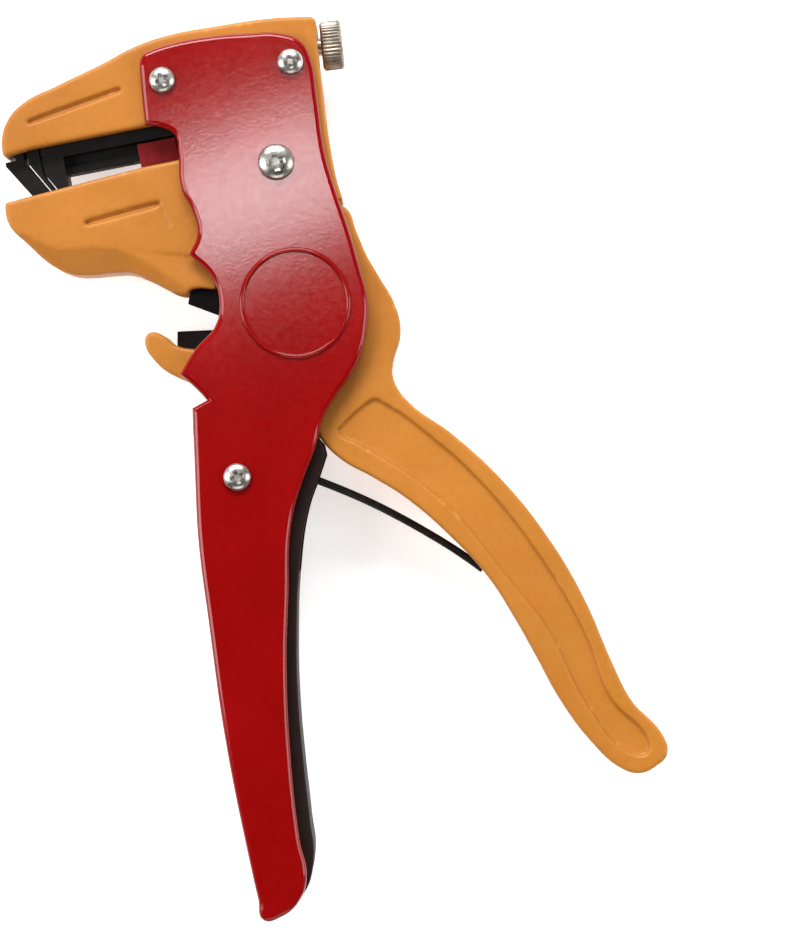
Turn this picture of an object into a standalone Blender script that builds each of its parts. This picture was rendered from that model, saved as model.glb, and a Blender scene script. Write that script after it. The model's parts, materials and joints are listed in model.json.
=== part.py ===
"""Automatic wire stripper: every loose piece of the tool as its own closed solid.

The tool lies flat on its rear side plate. +Z points up through it, +Y runs towards the head and +X towards
the squeezing lever. The origin is on the lever's pivot axis, at the rear plate's outer face. Lengths are in
metres; outlines are written in millimetres and scaled once, by smooth() and corner().

Three frames share that origin height: the world, the slide frame (at the jaw pivot, its X along the blade
carrier's travel) and the jaw frame (the same, turned by the jaw's opening, so the jaw is drawn shut in it).
"""

import math

import bmesh
import bpy
from mathutils import Matrix, Vector

MM = 0.001

# Clearances
GAP = 0.3 * MM                     # between pieces that touch or run on each other
SLACK = 0.4 * MM                   # between pieces that slide
OVERRUN = 1.2 * MM                 # how far a hole or slot is cut past the face that it opens in

# Casing
PLATE_THICKNESS = 2.0 * MM
BODY_GAP = 18.4 * MM               # between the two side plates
HANDLE_WAIST_Y = -40.8 * MM        # where the fixed handle begins
HANDLE_REACH = 75.5 * MM           # from the waist to the handle's end
BLIND_BORE = 1.2 * MM              # how deep pins sit in the side plates
RING_RADIUS = 10.5 * MM
RING_WIDTH = 0.9 * MM
RING_HEIGHT = 0.5 * MM
MID_Z = PLATE_THICKNESS + BODY_GAP / 2
FRONT_Z = PLATE_THICKNESS + BODY_GAP
CASTING_WIDTH = BODY_GAP - 2 * GAP
CHANNEL_WIDTH = 10.8 * MM          # inside both jaws
CARRIER_WIDTH = CHANNEL_WIDTH - 2 * SLACK

# Jaw, slide and lever geometry
JAW_PIVOT = Vector((-3.58 * MM, 26.54 * MM))
SLIDE_ANGLE = math.radians(11.13)
JAW_OPENING = math.radians(4.0)
SQUEEZE_ANGLE = math.radians(21.0)
DRIVE_RADIUS = 36.7 * MM           # lever pivot to drive pin
JAW_WIDTH = BODY_GAP - 1.0 * MM
EAR_RADIUS = 5.5 * MM
EAR_BUSH_WALL = 0.9 * MM
LEVER_THICKNESS = BODY_GAP - 4.0 * MM
HUB_RADIUS = 8.0 * MM
WEB_THICKNESS = 6.0 * MM
WEB_WIDTH = 6.0 * MM
WEB_START = 14.0 * MM
WEB_EYE = 3.2 * MM
PANEL_DEPTH = 0.7 * MM
GROOVE_ROOM = 0.5 * MM             # beside the return spring's arm, in the lever

# Pins, posts and screws
MAIN_PIN_RADIUS = 2.5 * MM
BUSH_WALL = 1.5 * MM
DRIVE_PIN_RADIUS = 1.5 * MM
CUTTER_POST_RADIUS = 1.3 * MM
CUTTER_POST = Vector((-12.2 * MM, 4.4 * MM))
HEAD_SCREWS = {"left": Vector((-25.04 * MM, 41.98 * MM)), "right": Vector((-0.94 * MM, 45.37 * MM))}
HEAD_SCREW = (2.45 * MM, 1.2 * MM, 1.3 * MM)       # head radius, shank radius, head height
JAW_SCREW = (3.4 * MM, 2.2 * MM, 1.5 * MM)
POST_SCREW = (2.6 * MM, 1.3 * MM, 1.3 * MM)
SCREW_BITE = 2.6 * MM              # how far a screw reaches into what it holds
POST_BITE = 6.0 * MM
SPRING_POST = Vector((-10.92 * MM, -32.76 * MM))
SPRING_POST_RADIUS = 3.2 * MM

# Springs
SPRING_WIRE = 0.75 * MM            # radius of the return spring's wire
SPRING_COIL = 4.5 * MM             # mean radius of its coil
SPRING_RISE = 6.2 * MM
SPRING_EXIT = math.radians(70.0)
SPRING_TURNS = 3
SPRING_LEG = ((-3.4 * MM, -15.8 * MM), (-4.1 * MM, -9.0 * MM), (-4.4 * MM, -4.0 * MM))      # from its post
SPRING_ARM = (
    (3.8 * MM, -33.3 * MM), (13.1 * MM, -37.15 * MM), (20.7 * MM, -41.0 * MM), (27.8 * MM, -45.1 * MM),
    (32.4 * MM, -48.1 * MM), (35.6 * MM, -50.4 * MM),
)
SPRING_LEVEL_POINT = 3             # the arm is back in the middle plane from this point on
CLAMP_WIRE = 0.4 * MM
CLAMP_COIL = 1.8 * MM
CLAMP_TURNS = 9

# Adjuster: its spring lies along the slide, its screw square to the head casting's rear face
ROD_N = 20.8 * MM                  # the clamp spring's axis, in the slide frame
ADJUSTER_ANGLE = math.radians(6.0)
KNOB_CENTRE = Vector((6.75 * MM, 49.7 * MM))
KNOB_RADIUS = 4.7 * MM
KNOB_LENGTH = 4.1 * MM
SCREW_RADIUS = 1.8 * MM
SCREW_LENGTH = 10.7 * MM           # from its tip to the knob's centre
ADJUSTER_BUSH_WALL = 1.1 * MM
ADJUSTER_BUSH = (-6.0 * MM, -3.2 * MM)
SEAT_U = 0.5 * MM
SEAT_LENGTH = 3.0 * MM
SEAT_RADIUS = 2.5 * MM
SEAT_GUIDE_LENGTH = 3.0 * MM
KNOB_CHAMFER = 0.4 * MM

# Blade carriers and grip pads, in the slide and jaw frames: X along the travel, Y square to it
BAR_FRONT = -43.6 * MM
BAR_BOTTOM = 9.3 * MM
BAR_TOP = 14.3 * MM
BLOCK_FRONT = -17.0 * MM
BLOCK_BOTTOM = 4.0 * MM
MERGE_LEVEL = 10.0 * MM            # how far the foot, rail and block reach up into the bar
FORK_FRONT = -14.2 * MM
FORK_WALL = 1.5 * MM
RAIL_FRONT = -40.0 * MM            # a T-shaped rail under the bar carries the length stop
RAIL_WEB = (6.6 * MM, MERGE_LEVEL)
RAIL_WEB_HALF = 2.0 * MM
RAIL_FLANGE = (5.9 * MM, 7.3 * MM)
RAIL_FLANGE_HALF = 3.2 * MM
LUG_REAR = -27.8 * MM
LUG_LENGTH = 2.2 * MM
LUG_LEVELS = (13.0 * MM, 21.8 * MM)
LUG_HALF = 3.6 * MM
SPIGOT_LENGTH = 3.0 * MM
STOP_REACH = (-25.4 * MM, -18.0 * MM)
STOP_LEVELS = (4.3 * MM, 8.9 * MM)
STRIP_REACH = (-41.0 * MM, -21.0 * MM)
STRIP_TOP = 0.2 * MM
FLOOR_TOP = -1.7 * MM
CARRIER_POST_REACH = (-39.1 * MM, -37.5 * MM)
CARRIER_POST_TOP = 5.4 * MM
CARRIER_POST_INNER = 3.8 * MM
PAD_WIDTH = CHANNEL_WIDTH - 2 * GAP
LOWER_PAD_REACH = (-51.0 * MM, -43.0 * MM)
LOWER_PAD_LEVELS = (0.6 * MM, 2.6 * MM)
PAD_TEETH = 4
PAD_PITCH = 2.0 * MM
PAD_NOTCH = (0.8 * MM, 0.5 * MM)   # width and depth

# Stripping blades
BLADE_FRONT = -46.2 * MM
BLADE_SINK = 1.0 * MM
BLADE_SINK_RADIUS = 1.9 * MM
BLADE_SCREW_LEVEL = 11.0 * MM
BLADE_SCREW_RADIUS = 0.7 * MM
BLADE_SCREW_HEAD = 1.6 * MM
BLADE_SCREW_TIP = -40.4 * MM
WIRE_SEAT = 0.9 * MM               # radius of the notch in each blade
UPPER_SEAT = (-44.0 * MM, -40.0 * MM, 1.6 * MM)    # front, rear and level of the notch
LOWER_SEAT = (-43.0 * MM, -40.0 * MM, 1.3 * MM)

# Wire cutter
CUTTER_THICKNESS = 1.9 * MM
CUTTER_OFFSET = 0.15 * MM          # each cutter blade's face from the middle plane
RIVET_PLACE = (-17.2 * MM, -10.7 * MM)
RIVET_RADIUS = 1.1 * MM

ROUND_STEPS = 24
SMALL_STEPS = 16
RING_STEPS = 48
KNOB_STEPS = 36
SPRING_STEPS = 14                  # steps a turn
CLAMP_STEPS = 12
OUTLINE_STEPS = 4
SMOOTH_ANGLE = math.radians(35)
WELD = 0.00001

COLOURS = {                        # colour, metallic, roughness
    "red_paint": ((0.55, 0.02, 0.03), 0.0, 0.35),
    "yellow_paint": ((0.85, 0.42, 0.05), 0.0, 0.45),
    "black_plastic": ((0.02, 0.02, 0.02), 0.0, 0.5),
    "red_plastic": ((0.6, 0.02, 0.02), 0.0, 0.4),
    "black_steel": ((0.03, 0.03, 0.035), 0.8, 0.4),
    "bright_steel": ((0.7, 0.7, 0.68), 1.0, 0.25),
    "spring_steel": ((0.1, 0.1, 0.1), 0.9, 0.35),
    "bronze": ((0.6, 0.4, 0.2), 1.0, 0.35),
}


# ---------------------------------------------------------------- small helpers

def clear_scene():
    for thing in list(bpy.data.objects):
        bpy.data.objects.remove(thing, do_unlink=True)


def new_collection(name):
    made = bpy.data.collections.new(name)
    bpy.context.scene.collection.children.link(made)
    return made


def new_material(name):
    colour, metallic, roughness = COLOURS[name]
    made = bpy.data.materials.new(name)
    made.use_nodes = True
    shader = made.node_tree.nodes["Principled BSDF"]
    shader.inputs["Base Color"].default_value = (*colour, 1.0)
    shader.inputs["Metallic"].default_value = metallic
    shader.inputs["Roughness"].default_value = roughness
    return made


def new_frame(name, at=(0.0, 0.0), turn=0.0, parent=None):
    empty = bpy.data.objects.new(name, None)
    PARTS.objects.link(empty)
    empty.location = (at[0], at[1], 0.0)
    empty.rotation_euler = (0.0, 0.0, turn)
    empty.parent = parent
    return empty


def smooth(x, y):
    """A point that an outline passes through smoothly, in millimetres."""
    return (x * MM, y * MM, "AUTO")


def corner(x, y):
    """A sharp corner of an outline, in millimetres."""
    return (x * MM, y * MM, "VECTOR")


def on_handle(x, share):
    """A smooth point beside the fixed handle, this share of the way from its waist to its end."""
    return (x * MM, HANDLE_WAIST_Y - share * HANDLE_REACH, "AUTO")


def slide_to_world(u, n):
    """A point of the slide frame, in metres, as world x and y."""
    return JAW_PIVOT + Matrix.Rotation(SLIDE_ANGLE, 2) @ Vector((u, n))


def slide_corner(u, n):
    """A corner given in the slide frame, in millimetres, for an outline drawn in the world frame."""
    x, y = slide_to_world(u * MM, n * MM)
    return (x, y, "VECTOR")


def arc(centre, radius, start, end, count):
    """Smooth points along an arc, angles in degrees."""
    points = []
    for step in range(count):
        angle = math.radians(start + (end - start) * step / (count - 1))
        points.append((centre[0] + radius * math.cos(angle), centre[1] + radius * math.sin(angle), "AUTO"))
    return points


def mesh_object(name, mesh_builder):
    """An unlinked object whose mesh is filled by mesh_builder(bmesh)."""
    mesh = bpy.data.meshes.new(name)
    bm = bmesh.new()
    mesh_builder(bm)
    bm.normal_update()
    bm.to_mesh(mesh)
    bm.free()
    return bpy.data.objects.new(name, mesh)


def mesh_from_curve(name, curve):
    """The curve's solid as a closed mesh object, its caps welded on."""
    guide = bpy.data.objects.new(name, curve)
    bpy.context.scene.collection.objects.link(guide)
    evaluated = guide.evaluated_get(bpy.context.evaluated_depsgraph_get())
    mesh = bpy.data.meshes.new_from_object(evaluated)
    bpy.data.objects.remove(guide)
    mesh.name = name
    bm = bmesh.new()
    bm.from_mesh(mesh)
    bmesh.ops.remove_doubles(bm, verts=bm.verts, dist=WELD)
    bmesh.ops.dissolve_degenerate(bm, edges=bm.edges, dist=WELD / 10)
    bmesh.ops.recalc_face_normals(bm, faces=bm.faces)
    bm.to_mesh(mesh)
    bm.free()
    return bpy.data.objects.new(name, mesh)


def outline(name, points, low, high, steps=OUTLINE_STEPS):
    """A flat outline as a solid between two heights."""
    curve = bpy.data.curves.new(name, "CURVE")
    curve.dimensions = "2D"
    curve.fill_mode = "BOTH"
    curve.resolution_u = steps
    curve.extrude = (high - low) / 2
    spline = curve.splines.new("BEZIER")
    spline.bezier_points.add(len(points) - 1)
    spline.use_cyclic_u = True
    for knot, (x, y, kind) in zip(spline.bezier_points, points):
        knot.co = (x, y, 0.0)
        knot.handle_left_type = kind
        knot.handle_right_type = kind
    solid = mesh_from_curve(name, curve)
    solid.data.transform(Matrix.Translation((0.0, 0.0, (low + high) / 2)))
    return solid


def middle_outline(name, points, half, steps=OUTLINE_STEPS):
    """A flat outline as a solid that reaches half to each side of the middle plane."""
    return outline(name, points, MID_Z - half, MID_Z + half, steps)


def box(name, low, high):
    """A box between two opposite corners."""
    low, high = Vector(low), Vector(high)

    def fill(bm):
        bmesh.ops.create_cube(bm, size=1.0)
        bm.transform(Matrix.Translation((low + high) / 2) @ Matrix.Diagonal((*(high - low), 1.0)))

    return mesh_object(name, fill)


def slab(name, reach, levels, half):
    """A box along a frame's X between two ends and two levels, centred on the middle plane."""
    return box(name, (reach[0], levels[0], MID_Z - half), (reach[1], levels[1], MID_Z + half))


def rod(name, radius, start, end, tip_radius=None, steps=ROUND_STEPS):
    """A round bar, or a cone where tip_radius is given, between two points."""
    start, end = Vector(start), Vector(end)
    along = end - start
    tip = radius if tip_radius is None else tip_radius

    def fill(bm):
        bmesh.ops.create_cone(
            bm, cap_ends=True, segments=steps, radius1=radius, radius2=tip, depth=along.length
        )
        turn = Vector((0.0, 0.0, 1.0)).rotation_difference(along).to_matrix().to_4x4()
        bm.transform(Matrix.Translation((start + end) / 2) @ turn)

    made = mesh_object(name, fill)
    shade(made)
    return made


def spindle(name, radius, start, end, level=0.0, steps=ROUND_STEPS):
    """A round bar along a frame's X, in the middle plane."""
    return rod(name, radius, (start, level, MID_Z), (end, level, MID_Z), steps=steps)


def turned(name, profile, steps=ROUND_STEPS):
    """A solid turned about Z from (radius, height) points that run down its outer side."""
    mesh = bpy.data.meshes.new(name)
    verts = [(radius, 0.0, height) for radius, height in profile]
    edges = [(i, i + 1) for i in range(len(profile) - 1)]
    mesh.from_pydata(verts, edges, [])
    made = bpy.data.objects.new(name, mesh)
    screw = made.modifiers.new("turn", "SCREW")
    screw.steps = screw.render_steps = steps
    screw.use_merge_vertices = True
    screw.merge_threshold = WELD
    screw.use_smooth_shade = False
    return made


def tube(name, points, radius, resolution=2):
    """A round wire along points."""
    curve = bpy.data.curves.new(name, "CURVE")
    curve.dimensions = "3D"
    curve.bevel_depth = radius
    curve.bevel_resolution = resolution
    curve.use_fill_caps = True
    spline = curve.splines.new("POLY")
    spline.points.add(len(points) - 1)
    for knot, point in zip(spline.points, points):
        knot.co = (*point, 1.0)
    made = mesh_from_curve(name, curve)
    shade(made)
    return made


def shade(piece):
    piece.data.shade_smooth()
    piece.data.set_sharp_from_angle(angle=SMOOTH_ANGLE)


def finish(piece, frame, material):
    """Put a finished piece in the tool's collection, on its frame."""
    PARTS.objects.link(piece)
    piece.parent = frame
    piece.data.materials.clear()
    piece.data.materials.append(MATERIALS[material])
    return piece


def boolean(piece, tool, frame, operation="DIFFERENCE"):
    CUTTERS.objects.link(tool)
    tool.parent = frame
    tool.hide_render = True
    tool.display_type = "WIRE"
    modifier = piece.modifiers.new(tool.name, "BOOLEAN")
    modifier.operation = operation
    modifier.solver = "EXACT"
    modifier.object = tool


def cut(piece, tool, frame):
    boolean(piece, tool, frame)


def join(piece, tool, frame):
    boolean(piece, tool, frame, "UNION")


def bore(piece, name, at, radius, low, high, frame):
    """A straight hole along Z."""
    cut(piece, rod(name, radius, (at[0], at[1], low), (at[0], at[1], high)), frame)


# ---------------------------------------------------------------- casing

def plate_outline():
    return [
        smooth(-29.2, 43.0), smooth(-29.3, 45.6), smooth(-28.7, 46.9), smooth(-27.4, 47.6),
        smooth(-24.9, 48.5), smooth(-18.6, 49.9),
        smooth(-9.4, 50.8), smooth(-2.6, 50.8), smooth(1.2, 49.2), smooth(3.0, 45.8), smooth(4.1, 39.0),
        smooth(5.65, 28.2), smooth(7.7, 21.1), smooth(10.2, 13.7), smooth(12.1, 7.0), smooth(13.6, 1.0),
        smooth(13.5, -4.3), smooth(12.6, -8.85), smooth(10.5, -13.4), smooth(7.3, -18.0),
        smooth(5.0, -22.4), smooth(3.8, -27.2), smooth(1.5, -33.3), on_handle(-0.6, 0.0),
        on_handle(-1.3, 0.2), on_handle(-1.6, 0.36), on_handle(-0.9, 0.58), on_handle(0.9, 0.8),
        on_handle(2.2, 0.89), on_handle(0.8, 0.952), on_handle(-2.6, 0.992), on_handle(-6.0, 1.0),
        on_handle(-7.0, 0.948), on_handle(-8.7, 0.849), on_handle(-13.2, 0.55), on_handle(-16.4, 0.25),
        on_handle(-18.3, 0.05), smooth(-19.0, -30.0), corner(-19.4, -19.8), corner(-16.6, -18.3),
        smooth(-18.85, -15.95), corner(-21.8, -13.4), smooth(-18.9, -8.7), smooth(-15.1, -4.3),
        smooth(-14.3, 0.2), smooth(-15.6, 4.7), corner(-20.0, 9.2), smooth(-18.4, 13.2),
        smooth(-19.2, 17.0), smooth(-21.5, 21.8), smooth(-22.1, 28.6), smooth(-22.8, 31.8),
        smooth(-24.8, 33.0), corner(-28.3, 33.6), smooth(-28.8, 38.2),
    ]


def screw_places():
    """Each screw position with its head, shank and the name used for its holes."""
    places = [(f"head_{side}", at, HEAD_SCREW) for side, at in HEAD_SCREWS.items()]
    places.append(("jaw_pivot", JAW_PIVOT, JAW_SCREW))
    places.append(("spring_post", SPRING_POST, POST_SCREW))
    return places


def side_plate(name, low, inner, outer):
    """One side plate; inner and outer are the heights of its two faces."""
    plate = outline(name, plate_outline(), low, low + PLATE_THICKNESS)
    for label, at, (head, shank, _) in screw_places():
        bore(plate, f"{name}_{label}_hole", at, shank + GAP, low - GAP, low + PLATE_THICKNESS + GAP, WORLD)
        if outer < inner:
            sink = rod(
                f"{name}_{label}_sink", head + GAP, (*at, outer - GAP), (*at, outer + head - shank),
                tip_radius=shank + GAP,
            )
            cut(plate, sink, WORLD)
    towards = 1.0 if outer > inner else -1.0
    pins = (("pivot", (0.0, 0.0), MAIN_PIN_RADIUS), ("cutter", CUTTER_POST, CUTTER_POST_RADIUS))
    for label, at, radius in pins:
        ends = sorted((inner - towards * GAP, inner + towards * BLIND_BORE))
        bore(plate, f"{name}_{label}_bore", at, radius + GAP, ends[0], ends[1], WORLD)
    return plate


def make_side_plates():
    front = side_plate("side_plate_front", FRONT_Z, FRONT_Z, FRONT_Z + PLATE_THICKNESS)
    top = FRONT_Z + PLATE_THICKNESS
    ends = ((0, 0, top - RING_HEIGHT), (0, 0, top + RING_HEIGHT))
    ring = rod("ring_disc", RING_RADIUS, *ends, steps=RING_STEPS)
    join(front, ring, WORLD)
    inside_top = top + 2 * RING_HEIGHT
    inside = rod("ring_inside", RING_RADIUS - RING_WIDTH, (0, 0, top), (0, 0, inside_top), steps=RING_STEPS)
    cut(front, inside, WORLD)
    finish(front, WORLD, "red_paint")
    finish(side_plate("side_plate_rear", 0.0, PLATE_THICKNESS, 0.0), WORLD, "red_paint")


def head_outline():
    """The head casting: nose, roof and rear wall, relieved below for the lower jaw's ears."""
    relief = arc(JAW_PIVOT, EAR_RADIUS + 2 * SLACK, -15.0, 101.13, 9)
    return [
        corner(-55.23, 27.63), smooth(-55.63, 30.15), smooth(-54.62, 34.47), smooth(-51.61, 37.89),
        smooth(-44.97, 41.31), smooth(-35.71, 45.84), smooth(-32.09, 47.85), smooth(-25.66, 50.37),
        smooth(-13.89, 52.68), smooth(-4.84, 53.99), corner(3.0, 54.35), corner(3.9, 53.6),
        smooth(4.22, 48.05), smooth(5.12, 40.51), smooth(5.82, 34.47), smooth(6.93, 27.63),
        smooth(8.0, 22.8), corner(9.15, 19.3), corner(5.0, 20.65), corner(3.9, 20.9), *relief,
        slide_corner(-15.5, 6.3), slide_corner(-17.5, 11.6), slide_corner(-45.3, 11.6),
    ]


def head_cavity():
    """The channel inside the head casting, in the slide frame."""
    return [
        corner(-48.9, 8.0), corner(-48.9, 13.7), corner(-46.5, 13.7), corner(-46.5, 14.7),
        corner(-31.0, 14.7), corner(-31.0, 22.3), corner(-28.5, 23.0), corner(-25.0, 24.2),
        corner(8.5, 24.4), corner(8.5, 3.0), corner(5.6, -8.6), corner(-20.0, -12.0),
    ]


def upper_pad_outline():
    return [
        corner(-46.6, 2.9), corner(-50.6, 9.5), corner(-50.6, 10.3), corner(-48.6, 10.3),
        corner(-48.6, 13.4), corner(-46.9, 13.4), corner(-46.9, 9.55), corner(-43.2, 2.9),
    ]


def make_head():
    half = CASTING_WIDTH / 2
    low, high = MID_Z - half, MID_Z + half
    head = middle_outline("upper_jaw_body", head_outline(), half)
    cut(head, middle_outline("head_channel", head_cavity(), CHANNEL_WIDTH / 2), SLIDE)
    bush_radius = SCREW_RADIUS + ADJUSTER_BUSH_WALL
    bush_low, bush_high = ADJUSTER_BUSH
    cut(head, spindle("adjuster_hole", bush_radius + GAP, bush_low - OVERRUN, 0.0), ADJUST)
    for side, at in HEAD_SCREWS.items():
        radius = HEAD_SCREW[1] + GAP
        depth = SCREW_BITE + GAP
        bore(head, f"head_{side}_tap_front", at, radius, high - depth, high + GAP, WORLD)
        bore(head, f"head_{side}_tap_rear", at, radius, low - GAP, low + depth, WORLD)
    finish(head, WORLD, "yellow_paint")
    finish(middle_outline("upper_grip_pad", upper_pad_outline(), PAD_WIDTH / 2), SLIDE, "black_steel")

    bush = spindle("adjuster_bushing", bush_radius, bush_low, bush_high)
    thread = spindle("bushing_thread", SCREW_RADIUS + GAP, bush_low - OVERRUN, bush_high + OVERRUN)
    cut(bush, thread, ADJUST)
    finish(bush, ADJUST, "bronze")


def core_outline():
    return [
        corner(-19.3, -20.0), smooth(-19.4, -23.5), smooth(-19.0, -28.0), smooth(-18.5, -33.0),
        on_handle(-17.9, 0.05), on_handle(-16.0, 0.25), on_handle(-12.8, 0.55), on_handle(-8.3, 0.849),
        on_handle(-6.6, 0.93), on_handle(-5.2, 0.975), on_handle(-1.8, 0.965), on_handle(1.3, 0.94),
        on_handle(3.45, 0.855), on_handle(2.75, 0.748), on_handle(1.5, 0.6), on_handle(0.55, 0.45),
        on_handle(0.25, 0.3), on_handle(0.75, 0.12), smooth(2.3, -39.0), smooth(4.3, -33.0),
        corner(5.75, -28.6), corner(5.3, -26.6), smooth(1.0, -22.2), smooth(-6.0, -19.5),
        corner(-14.0, -19.2),
    ]


def core_slot_outline():
    """The room that the grip core leaves for the lever."""
    return [
        corner(-16.8, -14.0), corner(-16.8, -38.0), corner(-15.6, -50.0), corner(-13.5, -53.5),
        corner(4.0, -50.0), corner(10.0, -50.0), corner(12.0, -14.0),
    ]


def make_grip_core():
    half = CASTING_WIDTH / 2
    core = middle_outline("grip_core", core_outline(), half)
    cut(core, middle_outline("core_slot", core_slot_outline(), LEVER_THICKNESS / 2 + GAP), WORLD)
    post_room = SPRING_POST_RADIUS + GAP
    bore(core, "core_post_hole", SPRING_POST, post_room, MID_Z - half - GAP, MID_Z + half + GAP, WORLD)
    finish(core, WORLD, "black_plastic")


# ---------------------------------------------------------------- fasteners

def domed_screw(name, at, sizes, plate_z, reach, material="bright_steel"):
    """A screw driven down from the front: a low dome on the plate, its shank below."""
    head, shank, height = sizes
    base = plate_z + GAP
    profile = [(0.0, base + height), (0.55 * head, base + 0.9 * height), (0.85 * head, base + 0.6 * height)]
    profile += [(head, base + 0.15 * height), (head, base), (shank, base), (shank, plate_z - reach)]
    profile.append((0.0, plate_z - reach))
    screw = turned(name, profile)
    screw.location = (at[0], at[1], 0.0)
    return finish(screw, WORLD, material)


def flush_screw(name, at, sizes, reach, material="bright_steel"):
    """A countersunk screw driven up from the rear face, its head just under the face."""
    head, shank, _ = sizes
    profile = [(0.0, reach), (shank, reach), (shank, head - shank + GAP), (head - GAP, GAP), (0.0, GAP)]
    screw = turned(name, profile)
    screw.location = (at[0], at[1], 0.0)
    return finish(screw, WORLD, material)


def make_fasteners():
    outside = FRONT_Z + PLATE_THICKNESS
    ear_depth = (JAW_WIDTH - CHANNEL_WIDTH) / 2
    ear_reach = PLATE_THICKNESS + (BODY_GAP - JAW_WIDTH) / 2 + ear_depth
    for side, at in HEAD_SCREWS.items():
        reach = PLATE_THICKNESS + SCREW_BITE
        domed_screw(f"head_screw_front_{side}", at, HEAD_SCREW, outside, reach)
        flush_screw(f"head_screw_rear_{side}", at, HEAD_SCREW, reach)
    domed_screw("jaw_pivot_screw_front", JAW_PIVOT, JAW_SCREW, outside, ear_reach)
    flush_screw("jaw_pivot_screw_rear", JAW_PIVOT, JAW_SCREW, ear_reach)
    domed_screw("post_screw_front", SPRING_POST, POST_SCREW, outside, POST_BITE)
    flush_screw("post_screw_rear", SPRING_POST, POST_SCREW, POST_BITE)

    pin_low = PLATE_THICKNESS - BLIND_BORE + GAP
    pin_high = FRONT_Z + BLIND_BORE - GAP
    finish(rod("main_pivot_pin", MAIN_PIN_RADIUS, (0, 0, pin_low), (0, 0, pin_high)), WORLD, "bright_steel")
    post = rod("cutter_blade_post", CUTTER_POST_RADIUS, (*CUTTER_POST, pin_low), (*CUTTER_POST, pin_high))
    finish(post, WORLD, "bright_steel")

    low, high = PLATE_THICKNESS + GAP, FRONT_Z - GAP
    spring_post = rod("spring_post", SPRING_POST_RADIUS, (*SPRING_POST, low), (*SPRING_POST, high))
    bite = POST_BITE - PLATE_THICKNESS + GAP
    bore(spring_post, "post_tap_front", SPRING_POST, POST_SCREW[1] + GAP, high - bite, high + GAP, WORLD)
    bore(spring_post, "post_tap_rear", SPRING_POST, POST_SCREW[1] + GAP, low - GAP, low + bite, WORLD)
    finish(spring_post, WORLD, "bright_steel")


# ---------------------------------------------------------------- wire cutter

def fixed_cutter_outline():
    return [
        corner(-20.65, 0.2), corner(-14.6, -2.05), corner(-10.7, -1.9), corner(-10.4, 6.4),
        corner(-13.6, 6.6), corner(-14.2, 3.6), corner(-20.1, 3.6),
    ]


def moving_cutter_outline():
    return [
        corner(-22.8, -4.95), corner(-14.75, -4.6), corner(-13.73, -8.24), corner(-13.6, -12.4),
        corner(-20.3, -12.4), corner(-22.8, -7.73),
    ]


def make_cutter():
    low = MID_Z + CUTTER_OFFSET
    high = low + CUTTER_THICKNESS
    fixed = outline("upper_cutter_blade", fixed_cutter_outline(), low, high)
    bore(fixed, "cutter_post_hole", CUTTER_POST, CUTTER_POST_RADIUS + GAP, low - GAP, high + GAP, WORLD)
    finish(fixed, WORLD, "black_steel")

    high = MID_Z - CUTTER_OFFSET
    low = high - CUTTER_THICKNESS
    moving = outline("lower_cutter_blade", moving_cutter_outline(), low, high)
    bore(moving, "rivet_hole_blade", RIVET_PLACE, RIVET_RADIUS + GAP, low - GAP, high + GAP, WORLD)
    finish(moving, WORLD, "black_steel")
    half = LEVER_THICKNESS / 2 - GAP
    ends = [(*RIVET_PLACE, MID_Z + side * half) for side in (-1, 1)]
    finish(rod("cutter_blade_rivet", RIVET_RADIUS, *ends), WORLD, "bright_steel")


# ---------------------------------------------------------------- lever

def lever_outline():
    return [
        smooth(9.6, 18.2), smooth(11.44, 14.03), smooth(13.36, 9.5), smooth(15.98, 4.96),
        smooth(18.6, 0.43), smooth(19.91, -5.21), smooth(18.5, -10.96), smooth(18.4, -13.68),
        smooth(20.71, -17.81),
        smooth(29.78, -24.66), smooth(39.15, -33.32), smooth(48.22, -44.71), smooth(54.87, -56.09),
        smooth(59.8, -67.48), smooth(63.63, -75.03), smooth(69.78, -81.98), smooth(70.48, -85.21),
        smooth(68.27, -87.63), smooth(65.25, -88.94), smooth(61.92, -88.13), smooth(55.77, -82.69),
        smooth(50.13, -75.03), smooth(46.0, -67.48), smooth(41.77, -59.92), smooth(36.75, -52.1),
        smooth(29.65, -44.35), smooth(21.1, -36.9), smooth(14.97, -33.02), smooth(8.82, -29.59),
        smooth(5.0, -25.97), smooth(1.0, -19.5), smooth(-6.0, -16.6), smooth(-15.0, -16.0),
        smooth(-21.4, -14.38), smooth(-26.54, -10.96),
        smooth(-28.55, -6.5), smooth(-27.4, -5.35), smooth(-25.1, -5.95),
        smooth(-22.91, -7.73), smooth(-18.5, -8.6), smooth(-13.5, -8.4), smooth(-10.4, -5.0),
        smooth(-9.5, 1.0), smooth(-9.7, 8.0), smooth(-9.4, 15.0), *arc((0, 0), 20.0 * MM, 116.0, 74.0, 5),
    ]


def lever_panel():
    """The long shallow panel sunk into each face of the lever's handle."""
    return [
        smooth(12.8, -19.1), smooth(14.9, -17.9), smooth(17.2, -18.9), smooth(24.9, -24.4),
        smooth(35.2, -33.7), smooth(47.1, -48.9), smooth(54.8, -62.3), smooth(59.6, -74.4),
        smooth(66.9, -83.0), smooth(66.6, -85.2), smooth(63.0, -84.9), smooth(55.3, -76.1),
        smooth(47.8, -61.7), smooth(40.3, -52.0), smooth(27.3, -36.9), smooth(11.9, -26.6),
        smooth(8.6, -25.0), corner(7.7, -23.9),
    ]


def cutter_slot_outline():
    """The room inside the lever for both cutter blades, over the lever's whole swing."""
    return [
        corner(-23.1, -3.6), corner(-23.0, -8.2), corner(-20.7, -12.8), corner(-13.2, -12.8),
        corner(-12.7, -9.6), corner(-9.2, -7.6), corner(-8.7, 9.0), corner(-14.0, 9.0), corner(-14.0, -4.0),
    ]


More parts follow.
